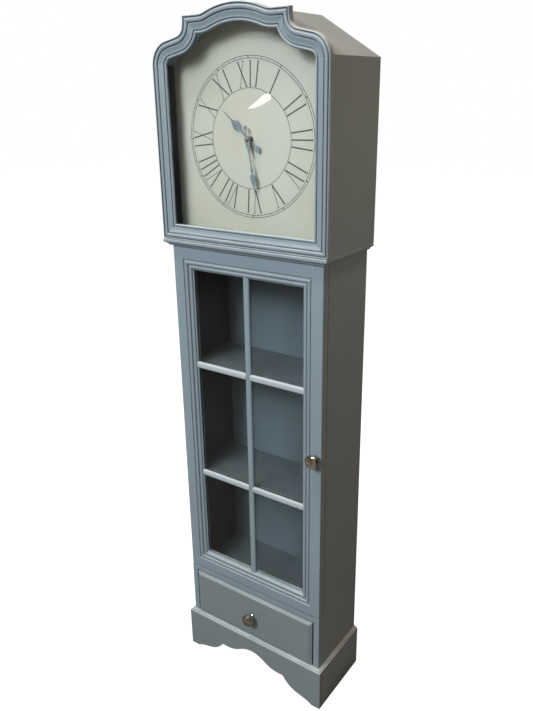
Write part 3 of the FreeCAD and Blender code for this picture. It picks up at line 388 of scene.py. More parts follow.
def painted(name, colour, stretch, dust=0.65, radius=EDGE_RADIUS, inner_half=0.0, inner_depth=0.0,
            inner=INNER_PAINT_IN_SHADE):
    """Paint with its streaks along one direction. With a half width given, the inside gets painted shade."""
    material, tree, shader = new_material(name, IOR=1.5)
    marks = use_group(tree, brush_marks, stretch=stretch)
    edges = use_group(tree, worn_edges, radius=radius, wear=EDGE_WEAR)
    shade_in_hollows = use_group(tree, hollow_shade, reach=HOLLOW_SHADE_REACH, amount=HOLLOW_SHADE_AMOUNT)
    lying = use_group(tree, facing, dust=dust)
    streaked = mixed(tree, marks["Streaks"], shaded(colour, 0.93), shaded(colour, 1.07))
    drift = stretched(tree, marks["Drift"], 0.35, 0.65, 0.0, 0.5)
    drifted = mixed(tree, drift, streaked, shaded(colour, 1.1))
    if inner_half > 0:
        # Inside faces get a colour of painted shade instead.
        inside = use_group(tree, inner_faces, half_width=inner_half, depth=inner_depth)
        drifted = mixed(tree, inside["Mask"], drifted, inner)
    # A painted highlight runs along every edge in the pale undercoat colour.
    ridge_lit = mixed(tree, combined(tree, "MULTIPLY", edges["Ridge"], RIDGE_HIGHLIGHT), drifted, UNDERCOAT_AND_HIGHLIGHT)
    worn = mixed(tree, edges["Mask"], ridge_lit, UNDERCOAT_AND_HIGHLIGHT)
    # Faces that look up get dust and a painted highlight.
    dusty_and_lit = mixed(tree, lying["Dust"], worn, DUST_AND_HIGHLIGHT)
    # Grooves, inner corners and gaps are darkened with painted shade.
    tree.links.new(mixed(tree, shade_in_hollows["Mask"], dusty_and_lit, HOLLOW_SHADE), shader["Base Color"])
    sheen = stretched(tree, marks["Streaks"], 0.3, 0.7, 0.34, 0.46)
    tree.links.new(combined(tree, "ADD", sheen, combined(tree, "MULTIPLY", lying["Dust"], 0.5)),
                   shader["Roughness"])
    set_bump(tree, shader, marks["Height"], BRUSH_RELIEF, edges["Normal"])
    return material


paint_upright = painted("Paint_along_uprights", PAINT, ALONG_HEIGHT)
paint_across = painted("Paint_along_cross_pieces", PAINT, ALONG_WIDTH)
paint_deep = painted("Paint_along_depth", PAINT, ALONG_DEPTH, dust=0.15)
paint_bars_lit = painted("Paint_of_cross_bars_lit", BAR_PAINTED_HIGHLIGHT, ALONG_WIDTH, dust=0.6, radius=BAR_EDGE_RADIUS)
paint_lower = painted("Paint_of_drawer_and_plinth", LOWER_PAINT, ALONG_WIDTH)
# The plinth's ledge takes the most of it, as a painted highlight.
paint_ledge = painted("Paint_of_plinth_ledge", LOWER_PAINT, ALONG_WIDTH, dust=0.95)

# %% Boards that are outside and inside
JUST_PAST = 0.2 * MM
HOOD_PAST = 0.6 * MM
shelf_low, shelf_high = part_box("case_top")
case_inside = {"inner_half": shelf_high.x + JUST_PAST, "inner_depth": shelf_low.y - JUST_PAST}
# Inner faces of the side boards are near black with painted shade; shelves are darkened the same way.
paint_case_side = painted("Paint_of_case_sides", PAINT, ALONG_HEIGHT, inner=INNER_SIDE_SHADE, **case_inside)
paint_shelves_shaded = painted("Paint_of_shelves_in_shade", PAINT, ALONG_WIDTH, dust=0.1, inner=SHELF_SHADE, **case_inside)
dial_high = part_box("dial_board")[1]
hood_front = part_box("hood_side_left")[0].y
hood_inside = {"inner_half": dial_high.x + HOOD_PAST, "inner_depth": hood_front - JUST_PAST}
paint_hood_side = painted("Paint_of_hood_sides", PAINT, ALONG_HEIGHT, inner=INNER_SIDE_SHADE, **hood_inside)
paint_hood_floor = painted("Paint_of_hood_floor", PAINT, ALONG_WIDTH, **hood_inside)
print("half width inside:", round(case_inside["inner_half"], 4), round(hood_inside["inner_half"], 4))

# %% Painted boards
dress(paint_upright, "door_stile_left", "door_stile_right", "glazing_bar_upright", "hood_frame_left",
      "hood_frame_right", "door_glass_beads", "plinth_side_left", "plinth_side_right")
dress(paint_across, "door_rail_bottom", "door_rail_top", "hood_frame_bottom", "hood_frame_arch")
dress(paint_bars_lit, "glazing_bars_cross")
dress(paint_case_side, "case_side_left", "case_side_right")
dress(paint_shelves_shaded, "case_divider", "case_top", "shelf_upper", "shelf_lower")
dress(paint_hood_side, "hood_side_left", "hood_side_right")
dress(paint_hood_floor, "hood_floor")
dress(paint_deep, "hood_roof_left", "hood_roof_right", "hood_roof_top")
dress(paint_lower, "drawer_front", "plinth_front")
dress(paint_ledge, "plinth_top")

# %% [markdown]
# The thin panels are fibreboard. Inside the cabinet they are painted, and behind they are bare, brown and
# speckled with short fibres. One material holds both sides and picks by the way that a face looks.

# %% Fibreboard panels
FIBRE_LIGHT = screen_colour(150, 122, 92)
FIBRE_DARK = screen_colour(104, 80, 57)


def make_panel():
    material, tree, shader = new_material("Fibreboard_painted_inside", IOR=1.45)
    marks = use_group(tree, brush_marks, stretch=ALONG_HEIGHT)
    side = use_group(tree, facing, dust=0.0)
    place = object_place(tree)
    fibres = add_node(tree, "ShaderNodeTexVoronoi", {"Vector": place, "Scale": 700.0}, feature="F1")
    speckle = stretched(tree, fibres.outputs["Distance"], 0.1, 0.7, 0.0, 1.0)
    bare = mixed(tree, speckle, FIBRE_DARK, FIBRE_LIGHT)
    # The painted side is darkened as painted shade, like the rest of the inside.
    paint = mixed(tree, marks["Streaks"], shaded(INNER_PAINT_IN_SHADE, 0.95), shaded(INNER_PAINT_IN_SHADE, 1.05))
    tree.links.new(mixed(tree, side["Front"], bare, paint), shader["Base Color"])
    tree.links.new(stretched(tree, side["Front"], 0.0, 1.0, 0.8, 0.45), shader["Roughness"])
    set_bump(tree, shader, marks["Height"], PANEL_RELIEF)
    return material


dress(make_panel(), "case_back", "hood_back")

# %% [markdown]
# The drawer's box, its runners, the shelf pegs and the rail behind the plinth are bare pine. The bands of
# the grain run along each board, and the soft wood between them is paler.

# %% Bare pine
PINE_LIGHT = screen_colour(222, 190, 142)
PINE_DARK = screen_colour(178, 132, 84)


def pine(name, stretch):
    """Bare pine with its grain drawn out along the direction of the smallest stretch."""
    material, tree, shader = new_material(name, IOR=1.45)
    grain = use_group(tree, wood_grain, stretch=stretch)
    banded = mixed(tree, stretched(tree, grain["Bands"], 0.3, 0.95, 0.0, 0.8), PINE_LIGHT, PINE_DARK)
    porous = mixed(tree, stretched(tree, grain["Pores"], 0.6, 0.8, 0.0, 0.35), banded, PINE_DARK)
    tree.links.new(porous, shader["Base Color"])
    tree.links.new(stretched(tree, grain["Bands"], 0.0, 1.0, 0.72, 0.58), shader["Roughness"])
    set_bump(tree, shader, grain["Pores"], GRAIN_RELIEF)
    return material


dress(pine("Pine_along_depth", (90, 6, 90)), "drawer_side_left", "drawer_side_right", "drawer_runners")
dress(pine("Pine_along_width", (6, 90, 90)), "drawer_back", "drawer_bottom", "shelf_pegs",
      "plinth_back_rail")

# %% [markdown]
# Glass needs the plain transmission of the shader, with a low index so that it mirrors little, as in the
# photograph. Lamps cannot shine through a refracting pane, so a Transparent shader takes over for their
# shadow rays. Faint smears come from a noise on the roughness.

# %% Glass
GLASS_TINT = screen_colour(245, 248, 246)
PANE_SHADE = 0.82      # share of lamp light that each face of a dusty pane lets through


def make_glass():
    material, tree, shader = new_material("Clear_glass", IOR=1.3, Transmission_Weight=1.0)
    shader["Base Color"].default_value = GLASS_TINT
    smears = noise(tree, object_place(tree), scale=9.0, detail=5.0, Distortion=1.4)
    tree.links.new(stretched(tree, smears, 0.45, 0.75, 0.0, 0.035), shader["Roughness"])
    clear = add_node(tree, "ShaderNodeBsdfTransparent", {"Color": shaded(GLASS_TINT, PANE_SHADE)})
    path = add_node(tree, "ShaderNodeLightPath")
    principled = tree.nodes["Principled BSDF"].outputs["BSDF"]
    choice = add_node(tree, "ShaderNodeMixShader", {0: path.outputs["Is Shadow Ray"], 1: principled,
                                                    2: clear.outputs["BSDF"]})
    tree.links.new(choice.outputs["Shader"], tree.nodes["Material Output"].inputs["Surface"])
    return material


dress(make_glass(), "door_glass", "hood_glass")

# %% [markdown]
# ## The clock
# The dial is a board with a warm white paper face, a little yellowed and mottled. The rings, the minute
# lines and the numerals are printed on it in a dark slate ink. The ink is thinner between the two outer
# rings, where the real lines are hair-fine, so it is mixed paler at that distance from the hands' axis.

# %% Dial paper
PAPER = screen_colour(173, 173, 166)
PAPER_AGED = screen_colour(166, 165, 155)
axis_low, axis_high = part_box("hand_cap")
dial_middle = (axis_low + axis_high) / 2


def make_paper():
    material, tree, shader = new_material("Dial_paper", IOR=1.4)
    side = use_group(tree, facing, dust=0.0)
    marks = use_group(tree, brush_marks, stretch=(900, 900, 900))
    aged = mixed(tree, stretched(tree, marks["Drift"], 0.35, 0.7, 0.0, 1.0), PAPER, PAPER_AGED)
    tree.links.new(mixed(tree, side["Front"], FIBRE_LIGHT, aged), shader["Base Color"])
    tree.links.new(stretched(tree, marks["Streaks"], 0.3, 0.7, 0.55, 0.68), shader["Roughness"])
    set_bump(tree, shader, marks["Streaks"], THIN_RELIEF)
    return material


dress(make_paper(), "dial_board")

# %% Printed ink
BAND_INNER = 4.8 * MM      # from the print's edge in to the middle of each border of the fine band
BAND_OUTER = 1.2 * MM
BAND_SOFTNESS = 0.1 * MM
FAINT_SHARE = 0.5
INK = screen_colour(40, 44, 58)
FAINT_INK = screen_colour(96, 100, 110)


def make_ink():
    material, tree, shader = new_material("Dial_ink", IOR=1.4)
    marks = use_group(tree, brush_marks, stretch=(500, 500, 500))
    blotted = mixed(tree, marks["Streaks"], shaded(INK, 0.8), shaded(INK, 1.25))
    print_low, print_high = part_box("dial_print")
    centre = (0, print_low.y, dial_middle.z)
    out = add_node(tree, "ShaderNodeVectorMath", {0: object_place(tree), 1: centre},
                   operation="DISTANCE").outputs["Value"]
    ring = (print_high.x - print_low.x) / 2
    inner_edge, outer_edge = ring - BAND_INNER, ring - BAND_OUTER
    inner = stretched(tree, out, inner_edge - BAND_SOFTNESS, inner_edge + BAND_SOFTNESS, 0.0, 1.0)
    outer = stretched(tree, out, outer_edge - BAND_SOFTNESS, outer_edge + BAND_SOFTNESS, 1.0, 0.0)
    fine = combined(tree, "MULTIPLY", combined(tree, "MULTIPLY", inner, outer), FAINT_SHARE)
    tree.links.new(mixed(tree, fine, blotted, FAINT_INK), shader["Base Color"])
    tree.links.new(stretched(tree, marks["Streaks"], 0.3, 0.7, 0.45, 0.6), shader["Roughness"])
    return material


dress(make_ink(), "dial_print")

# %% [markdown]
# The two hands are thin sheet metal with a blue-grey paint much like the frame's. The nut round their
# arbor, the small cap and the hinges are old brass, the knobs are polished, and screws and clips are
# steel. All of them use the group for handled metal, with darker patches where the dull spots are.

# %% Hands
HAND_PAINT = screen_colour(104, 118, 128)
BARE_METAL = screen_colour(160, 158, 150)


def make_hand_paint():
    material, tree, shader = new_material("Hand_paint", IOR=1.5)
    wear = use_group(tree, handled_metal, scale=160, roughness=0.38, spread=0.12)
    edges = use_group(tree, worn_edges, radius=0.25 * MM, wear=0.6)
    toned = mixed(tree, wear["Dullness"], shaded(HAND_PAINT, 1.08), shaded(HAND_PAINT, 0.86))
    tree.links.new(mixed(tree, edges["Mask"], toned, BARE_METAL), shader["Base Color"])
    tree.links.new(wear["Roughness"], shader["Roughness"])
    set_bump(tree, shader, wear["Height"], THIN_RELIEF, edges["Normal"])
    return material


dress(make_hand_paint(), "hour_hand", "minute_hand")

# %% Metals
BRASS = screen_colour(176, 146, 92)
OLD_BRASS = screen_colour(104, 82, 52)
KNOB_METAL = screen_colour(198, 194, 184)
DULL_KNOB = screen_colour(96, 90, 82)
STEEL_IN_SHADE = screen_colour(84, 82, 80)
STEEL_DEEPER_IN_SHADE = shaded(STEEL_IN_SHADE, 0.4)
STEEL = screen_colour(184, 186, 188)
DULL_STEEL = screen_colour(120, 120, 120)


def metal(name, bright, dull, scale, roughness, spread, edge_radius):
    """Metal whose dull patches are darker and rougher. The spread is how much rougher they are."""
    material, tree, shader = new_material(name, Metallic=1.0)
    wear = use_group(tree, handled_metal, scale=scale, roughness=roughness, spread=spread)
    edges = use_group(tree, worn_edges, radius=edge_radius, wear=0.8)
    toned = mixed(tree, wear["Dullness"], bright, dull)
    tree.links.new(mixed(tree, edges["Mask"], toned, bright), shader["Base Color"])
    tree.links.new(wear["Roughness"], shader["Roughness"])
    set_bump(tree, shader, wear["Height"], METAL_RELIEF, edges["Normal"])
    return material


old_brass = metal("Old_brass", BRASS, OLD_BRASS, scale=220, roughness=0.28, spread=0.25,
                  edge_radius=0.2 * MM)
polished = metal("Polished_knob", KNOB_METAL, DULL_KNOB, scale=120, roughness=0.07, spread=0.16,
                 edge_radius=0.3 * MM)
plated_steel = metal("Plated_steel", STEEL, DULL_STEEL, scale=260, roughness=0.3, spread=0.2,
                     edge_radius=0.15 * MM)
steel_in_shade = metal("Steel_in_painted_shade", STEEL_IN_SHADE, STEEL_DEEPER_IN_SHADE, scale=260, roughness=0.45, spread=0.2,
                      edge_radius=0.15 * MM)
dress(old_brass, "movement_nut", "hand_cap", "hinge_leaves_case", "hinge_leaves_door", "hinge_pins")
dress(polished, "drawer_knob", "door_knob")
dress(plated_steel, "case_screws", "drawer_knob_screw", "door_knob_screw", "hinge_screws_door",
      "catch_plate")
# The glass clips sit in the hood's shade, so their steel is darkened as painted shade.
dress(steel_in_shade, "glass_clips")

# %% [markdown]
# Behind the dial sits a bought movement in black moulded plastic with a fine eroded texture. Its battery
# has a plain jacket in two colours, with bare metal at both ends.

# %% Moulded plastic
PLASTIC_DARK = screen_colour(26, 26, 28)
PLASTIC_PALE = screen_colour(44, 44, 46)
PLASTIC_RUBBED = screen_colour(90, 90, 92)


def make_plastic():
    material, tree, shader = new_material("Black_moulded_plastic", IOR=1.46)
    spark = noise(tree, object_place(tree), scale=1500.0, detail=2.0)
    edges = use_group(tree, worn_edges, radius=0.4 * MM, wear=0.3)
    tone = mixed(tree, spark, PLASTIC_DARK, PLASTIC_PALE)
    tree.links.new(mixed(tree, edges["Mask"], tone, PLASTIC_RUBBED), shader["Base Color"])
    tree.links.new(stretched(tree, spark, 0.3, 0.7, 0.42, 0.6), shader["Roughness"])
    set_bump(tree, shader, spark, PLASTIC_RELIEF, edges["Normal"])
    return material


black_plastic = make_plastic()
dress(black_plastic, "movement_case", "time_setting_wheel", "catch_magnet")

# %% Battery jacket
BAND_SHARE = 0.28
BAND_EDGE = 0.2 * MM
JACKET_DARK = screen_colour(40, 42, 46)
JACKET_COPPER = screen_colour(176, 112, 62)
battery_low, battery_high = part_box("battery")
battery_length = battery_high.x - battery_low.x
band_start = battery_high.x - battery_length * BAND_SHARE


def make_battery():
    material, tree, shader = new_material("Battery_jacket", IOR=1.5)
    along = add_node(tree, "ShaderNodeSeparateXYZ", {0: object_place(tree)}).outputs["X"]
    band = stretched(tree, along, band_start, band_start + BAND_EDGE, 0.0, 1.0)
    jacket = mixed(tree, band, JACKET_DARK, JACKET_COPPER)
    normal = add_node(tree, "ShaderNodeNewGeometry").outputs["Normal"]
    across = add_node(tree, "ShaderNodeSeparateXYZ", {0: normal}).outputs["X"]
    end = stretched(tree, combined(tree, "ABSOLUTE", across, 0.0), 0.7, 0.9, 0.0, 1.0)
    tree.links.new(mixed(tree, end, jacket, STEEL), shader["Base Color"])
    tree.links.new(end, shader["Metallic"])
    wear = use_group(tree, handled_metal, scale=150, roughness=0.25, spread=0.12)
    tree.links.new(wear["Roughness"], shader["Roughness"])
    set_bump(tree, shader, wear["Height"], THIN_RELIEF)
    return material


dress(make_battery(), "battery")
print("not dressed yet:", sorted(set(nodes) - set(dressed)))

# %% [markdown]
# ## Small pieces that only the eye needs
# The construction model keeps screws and bought parts plain. Up close a screw has a recess for the
# driver, a movement has moulded ribs and a loop to hang it by, and a battery sits between a spring and a
# plate. These are built here from outlines: a row of points that is moved along gives a solid, and two
# rows, one inside the other, give a frame. A Bevel modifier then takes the sharpness off.

# %% Outlines and solids
WELD = 0.001 * MM
CORNER_STEPS = 6


def outline(middle, half_width, half_height, corner):
    """Points round a rectangle with round corners that faces the front, at a middle point."""
    points = []
    for quarter, (right, up) in enumerate(((1, 1), (-1, 1), (-1, -1), (1, -1))):
        for step in range(CORNER_STEPS + 1):
            angle = math.radians(90) * (quarter + step / CORNER_STEPS)
            across = right * (half_width - corner) + corner * math.cos(angle)
            height = up * (half_height - corner) + corner * math.sin(angle)
            points.append(middle + Vector((across, 0, height)))
    return points


def join_rows(shell, rows):
    """Faces between each row of points and the next one."""
    rings = [[shell.verts.new(point) for point in row] for row in rows]
    for ring, following in zip(rings, rings[1:]):
        for i in range(len(ring)):
            shell.faces.new((ring[i - 1], ring[i], following[i], following[i - 1]))
    return rings


def add_solid(shell, near, far):
    """Closed solid from one outline to another with as many points."""
    rings = join_rows(shell, [near, far])
    for ring in rings:
        shell.faces.new(ring)


def add_frame(shell, outer, inner, travel):
    """Closed frame between two outlines, one inside the other, as thick as the travel."""
    moved_outer = [point + travel for point in outer]
    moved_inner = [point + travel for point in inner]
    rings = join_rows(shell, [outer, moved_outer, moved_inner, inner])
    for i in range(len(outer)):
        shell.faces.new((rings[-1][i - 1], rings[-1][i], rings[0][i], rings[0][i - 1]))


print("points in an outline:", 4 * (CORNER_STEPS + 1))

# %% Make a piece and let it ride
def link_piece(piece, material, body):
    """Put a piece in the scene with its finish, on the body that carries it."""
    piece.data.materials.append(material)
    scene.collection.objects.link(piece)
    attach(piece, body)
    print(piece.name, "rides on", body)
    return piece


def add_piece(name, shell, material, body, softness):
    """Piece from a mesh that is being built. Its edges are rounded by the softness."""
    bmesh.ops.recalc_face_normals(shell, faces=shell.faces)
    mesh = bpy.data.meshes.new(name)
    shell.to_mesh(mesh)
    shell.free()
    piece = bpy.data.objects.new(name, mesh)
    round_off = piece.modifiers.new("Soft edges", "BEVEL")
    round_off.width = softness
    round_off.segments = 2
    round_off.limit_method = "ANGLE"
    return link_piece(piece, material, body)


# %% [markdown]
# A cross recess is cut into every screw. The places are read from the screws themselves: each loose part
# of the mesh is one screw, and its head is the end where it is widest. A Boolean modifier takes tapered
# crosses away from a copy, and the copy then stands for the carried-over screws.

# %% Find the screw heads
WIDE_SHARE = 0.9


def screw_heads(mesh):
    """Middle of each head's face, its radius, and 1 or -1 for the way along Y that leads into the screw."""
    welded = bmesh.new()
    welded.from_mesh(mesh)
    bmesh.ops.remove_doubles(welded, verts=welded.verts, dist=WELD)
    waiting = set(welded.verts)
    heads = []
    while waiting:
        found = [waiting.pop()]
        for vertex in found:
            beside = {edge.other_vert(vertex) for edge in vertex.link_edges} & waiting
            waiting -= beside
            found.extend(beside)
        spans = [(min(v.co[i] for v in found), max(v.co[i] for v in found)) for i in range(3)]
        x, z = sum(spans[0]) / 2, sum(spans[2]) / 2
        radius = (spans[0][1] - spans[0][0]) / 2
        wide = [v.co.y for v in found if math.hypot(v.co.x - x, v.co.z - z) > WIDE_SHARE * radius]
        inwards = 1 if sum(wide) / len(wide) < sum(spans[1]) / 2 else -1
        heads.append((x, spans[1][0] if inwards > 0 else spans[1][1], z, radius, inwards))
    welded.free()
    return sorted(heads)


for name in ("case_screws", "hinge_screws_door", "drawer_knob_screw", "door_knob_screw"):
    print(name, "has", len(screw_heads(nodes[name].data)), "heads")

# %% Cut the recesses
ARM_SHARE = 0.56
ARM_WIDTH_SHARE = 0.17
TAPER_SHARE = 0.4
DEPTH_SHARE = 0.55
CLEAR = 0.2 * MM
SHARP_FROM = math.radians(35)


def cross(x, y, z, arm, width):
    """Corners of an upright cross with four equal arms, in the plane at y."""
    corners = [(arm, width), (width, width), (width, arm)]
    quarters = [(1, 0, 0, 1), (0, -1, 1, 0), (-1, 0, 0, -1), (0, 1, -1, 0)]
    return [Vector((x + a * p + b * q, y, z + c * p + d * q)) for a, b, c, d in quarters for p, q in corners]


def cut_recesses(name, body, material):
    """Copy of the screws with a tapered cross taken out of each head."""
    shell = bmesh.new()
    for x, y, z, radius, inwards in screw_heads(nodes[name].data):
        arm, width, depth = radius * ARM_SHARE, radius * ARM_WIDTH_SHARE, radius * DEPTH_SHARE
        near = cross(x, y - inwards * CLEAR, z, arm, width)
        far = cross(x, y + inwards * depth, z, arm * TAPER_SHARE, width * TAPER_SHARE)
        add_solid(shell, near, far)
    bmesh.ops.recalc_face_normals(shell, faces=shell.faces)
    cutter_mesh = bpy.data.meshes.new("cutter")
    shell.to_mesh(cutter_mesh)
    shell.free()
    cutter = bpy.data.objects.new("cutter", cutter_mesh)
    source = bpy.data.objects.new("source", nodes[name].data.copy())
    for helper in (cutter, source):
        scene.collection.objects.link(helper)
    cut = source.modifiers.new("Recess", "BOOLEAN")
    cut.operation = "DIFFERENCE"
    cut.object = cutter
    mesh = bpy.data.meshes.new_from_object(source.evaluated_get(bpy.context.evaluated_depsgraph_get()))
    for helper in (cutter, source):
        bpy.data.objects.remove(helper)
    mesh.materials.clear()
    mesh.set_sharp_from_angle(angle=SHARP_FROM)
    piece = link_piece(bpy.data.objects.new(name + "_recessed", mesh), material, body)
    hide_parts(name)
    print(name, "now has", len(mesh.polygons), "faces")


for name, body in (("case_screws", "case"), ("hinge_screws_door", "door"), ("door_knob_screw", "door"),
                   ("drawer_knob_screw", "drawer")):
    cut_recesses(name, body, plated_steel)

# %% [markdown]
# The movement's back has a raised rim, a ring round the setting wheel and three short ribs, and over its
# top edge stands a flat loop with a hole for a nail. All are moulded with the case, so they share its
# plastic.

# %% Mouldings of the movement
movement_low, movement_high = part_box("movement_case")
wheel_low, wheel_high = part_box("time_setting_wheel")
MOULDING_HEIGHT = 0.8 * MM
RIM_INSET = 0.3 * MM
RIM_WIDTH = 1.2 * MM
MOVEMENT_CORNER = 5.0 * MM
RING_GAP = 1.6 * MM
RIB_HALF = Vector((9.0 * MM, 0, 0.6 * MM))
RIB_STEP = 4.0 * MM
LOOP_HALF_WIDTH = 9.0 * MM
LOOP_HALF_HEIGHT = 7.0 * MM
LOOP_THICKNESS = 2.0 * MM
LOOP_HOLE = 2.6 * MM
LOOP_SINK = 2.0 * MM
LOOP_CORNER_SHARE = 0.8
MOULDING_SOFTNESS = 0.15 * MM
LOOP_SOFTNESS = 0.3 * MM


def add_mouldings():
    shell = bmesh.new()
    travel = Vector((0, MOULDING_HEIGHT, 0))
    middle = Vector((0, movement_high.y, dial_middle.z))
    half = (movement_high.x - movement_low.x) / 2 - RIM_INSET
    inner = half - RIM_WIDTH
    add_frame(shell, outline(middle, half, half, MOVEMENT_CORNER),
              outline(middle, inner, inner, MOVEMENT_CORNER - RIM_WIDTH), travel)
    wheel_middle = Vector(((wheel_low.x + wheel_high.x) / 2, movement_high.y, dial_middle.z))
    ring = (wheel_high.x - wheel_low.x) / 2 + RING_GAP
    add_frame(shell, outline(wheel_middle, ring + RIM_WIDTH, ring + RIM_WIDTH, ring + RIM_WIDTH),
              outline(wheel_middle, ring, ring, ring), travel)
    for step in (-1, 0, 1):
        place = middle + Vector((-half / 2, 0, half / 2 + step * RIB_STEP))
        near = outline(place, RIB_HALF.x, RIB_HALF.z, RIB_HALF.z)
        add_solid(shell, near, [point + travel for point in near])
    add_piece("movement_mouldings", shell, black_plastic, "case", MOULDING_SOFTNESS)


def add_hanging_loop():
    shell = bmesh.new()
    height = movement_high.z + LOOP_HALF_HEIGHT - LOOP_SINK
    place = Vector((0, movement_high.y - LOOP_THICKNESS, height))
    hole = place + Vector((0, 0, LOOP_SINK))
    add_frame(shell, outline(place, LOOP_HALF_WIDTH, LOOP_HALF_HEIGHT, LOOP_HALF_HEIGHT * LOOP_CORNER_SHARE),
              outline(hole, LOOP_HOLE, LOOP_HOLE, LOOP_HOLE), Vector((0, LOOP_THICKNESS, 0)))
    add_piece("movement_loop", shell, black_plastic, "case", LOOP_SOFTNESS)


add_mouldings()
add_hanging_loop()

# %% [markdown]
# A coil spring presses on the flat end of the battery. A curve is the natural way to make wire: its
# points follow a narrowing helix, and the curve's own bevel gives it thickness. The other end rests on a
# bent plate.

# %% Spring and plate
WIRE_RADIUS = 0.3 * MM
SPRING_TURNS = 2.5
SPRING_WIDE = 5.2 * MM
SPRING_NARROW = 2.4 * MM
SPRING_LENGTH = 0.8 * MM
POINTS_PER_TURN = 12
PLATE_THICKNESS = 0.2 * MM
PLATE_HALF = 4.0 * MM
PLATE_TAB = 1.0 * MM
PLATE_CLEARANCE = 0.05 * MM
PLATE_SOFTNESS = 0.04 * MM


def add_spring():
    curve = bpy.data.curves.new("battery_spring", "CURVE")
    curve.dimensions = "3D"
    curve.bevel_depth = WIRE_RADIUS
    count = int(SPRING_TURNS * POINTS_PER_TURN) + 1
    spline = curve.splines.new("NURBS")
    spline.points.add(count - 1)
    axis = (battery_low + battery_high) / 2
    end = battery_low.x - WIRE_RADIUS
    for i, point in enumerate(spline.points):
        share = i / (count - 1)
        radius = SPRING_WIDE + (SPRING_NARROW - SPRING_WIDE) * share
        angle = math.tau * SPRING_TURNS * share
        x = end - SPRING_LENGTH * (1 - share)
        point.co = (x, axis.y + radius * math.cos(angle), axis.z + radius * math.sin(angle), 1)
    spline.order_u = 3
    spline.use_endpoint_u = True
    link_piece(bpy.data.objects.new("battery_spring", curve), plated_steel, "case")


def add_contact_plate():
    shell = bmesh.new()
    axis = (battery_low + battery_high) / 2
    inner = battery_high.x + PLATE_CLEARANCE
    outer = inner + PLATE_THICKNESS
    back = movement_high.y
    bend = [(inner, axis.y), (inner, back + PLATE_THICKNESS), (inner + PLATE_TAB, back + PLATE_THICKNESS),
            (inner + PLATE_TAB, back), (outer, back), (outer, axis.y)]
    near = [Vector((x, y, axis.z - PLATE_HALF)) for x, y in bend]
    far = [Vector((x, y, axis.z + PLATE_HALF)) for x, y in bend]
    add_solid(shell, near, far)
    add_piece("battery_plate", shell, plated_steel, "case", PLATE_SOFTNESS)


add_spring()
add_contact_plate()

# %% [markdown]
# The magnetic catch under the top board is a small moulded block. Two steel strips stand a hair proud of
# its front and carry the magnet's pull to the plate on the door.

# %% Catch
CATCH_CORNER = 1.6 * MM
STRIP_HALF_WIDTH = 13.0 * MM
STRIP_HALF = 0.7 * MM
STRIP_PROUD = 0.15 * MM
STRIP_SPREAD = 2.8 * MM
CATCH_SOFTNESS = 0.4 * MM
STRIP_SOFTNESS = 0.05 * MM


def add_catch():
    low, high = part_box("catch_magnet")
    middle = Vector(((low.x + high.x) / 2, low.y, (low.z + high.z) / 2))
    depth = Vector((0, high.y - low.y, 0))
    shell = bmesh.new()
    near = outline(middle, (high.x - low.x) / 2, (high.z - low.z) / 2, CATCH_CORNER)
    add_solid(shell, near, [point + depth for point in near])
    block = add_piece("catch_block", shell, black_plastic, "case", CATCH_SOFTNESS)
    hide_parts("catch_magnet")
    strips = bmesh.new()
    for side in (-1, 1):
        place = middle + Vector((0, -STRIP_PROUD, side * STRIP_SPREAD))
        near = outline(place, STRIP_HALF_WIDTH, STRIP_HALF, STRIP_HALF / 2)
        add_solid(strips, near, [point + depth / 2 for point in near])
    add_piece("catch_strips", strips, plated_steel, "case", STRIP_SOFTNESS)


add_catch()

# %% [markdown]
# ## The room
# The photograph has a pure white ground, so floor and sky are white to the camera and to whatever looks
# through glass. What lights the cabinet is plainer: a dim warm room all round, and lamps that come last.
# The questions that a ray is asked here tell the two apart.

# %% Floor
FLOOR_HALF = 12.0
FLOOR_COLOUR = screen_colour(118, 116, 112)
FLOOR_GLOW = 0.965
WHITE = (1.0, 1.0, 1.0, 1.0)
BLACK = (0.0, 0.0, 0.0, 1.0)
LESS_THAN_ONE = 0.5      # a count of bounces under this is none


def seen_directly(tree):
    """One for rays from the camera, also straight through glass, if nothing scatters or mirrors them."""
    path = add_node(tree, "ShaderNodeLightPath").outputs
    turned = combined(tree, "ADD", path["Diffuse Depth"], path["Glossy Depth"])
    straight = combined(tree, "LESS_THAN", turned, LESS_THAN_ONE)
    through_glass = combined(tree, "MULTIPLY", path["Is Transmission Ray"], straight)
    return combined(tree, "MAXIMUM", path["Is Camera Ray"], through_glass)


def counted_already(tree):
    """One for scattered light that leaves through glass: shadow rays have brought that light in before."""
    path = add_node(tree, "ShaderNodeLightPath").outputs
    scattered = combined(tree, "GREATER_THAN", path["Diffuse Depth"], LESS_THAN_ONE)
    return combined(tree, "MULTIPLY", path["Is Transmission Ray"], scattered)


def add_card(name, corners, material):
    """Flat sheet through its corners, for the stage."""
    mesh = bpy.data.meshes.new(name)
    mesh.from_pydata(corners, [], [tuple(range(len(corners)))])
    mesh.materials.append(material)
    card = bpy.data.objects.new(name, mesh)
    scene.collection.objects.link(card)
    return card


def make_floor():
    material, tree, shader = new_material("Pale_floor", Roughness=0.9)
    shader["Base Color"].default_value = FLOOR_COLOUR
    shader["Emission Color"].default_value = WHITE
    glow = combined(tree, "MULTIPLY", seen_directly(tree), FLOOR_GLOW)
    tree.links.new(glow, shader["Emission Strength"])
    quarters = ((-1, -1), (1, -1), (1, 1), (-1, 1))
    corners = [(across * FLOOR_HALF, along * FLOOR_HALF, 0) for across, along in quarters]
    floor = add_card("floor", corners, material)


make_floor()
print("floor side in metres:", 2 * FLOOR_HALF)

# %% Room light
ROOM_COLOUR = (1.0, 0.80, 0.61, 1.0)
ROOM_STRENGTH = 0.26


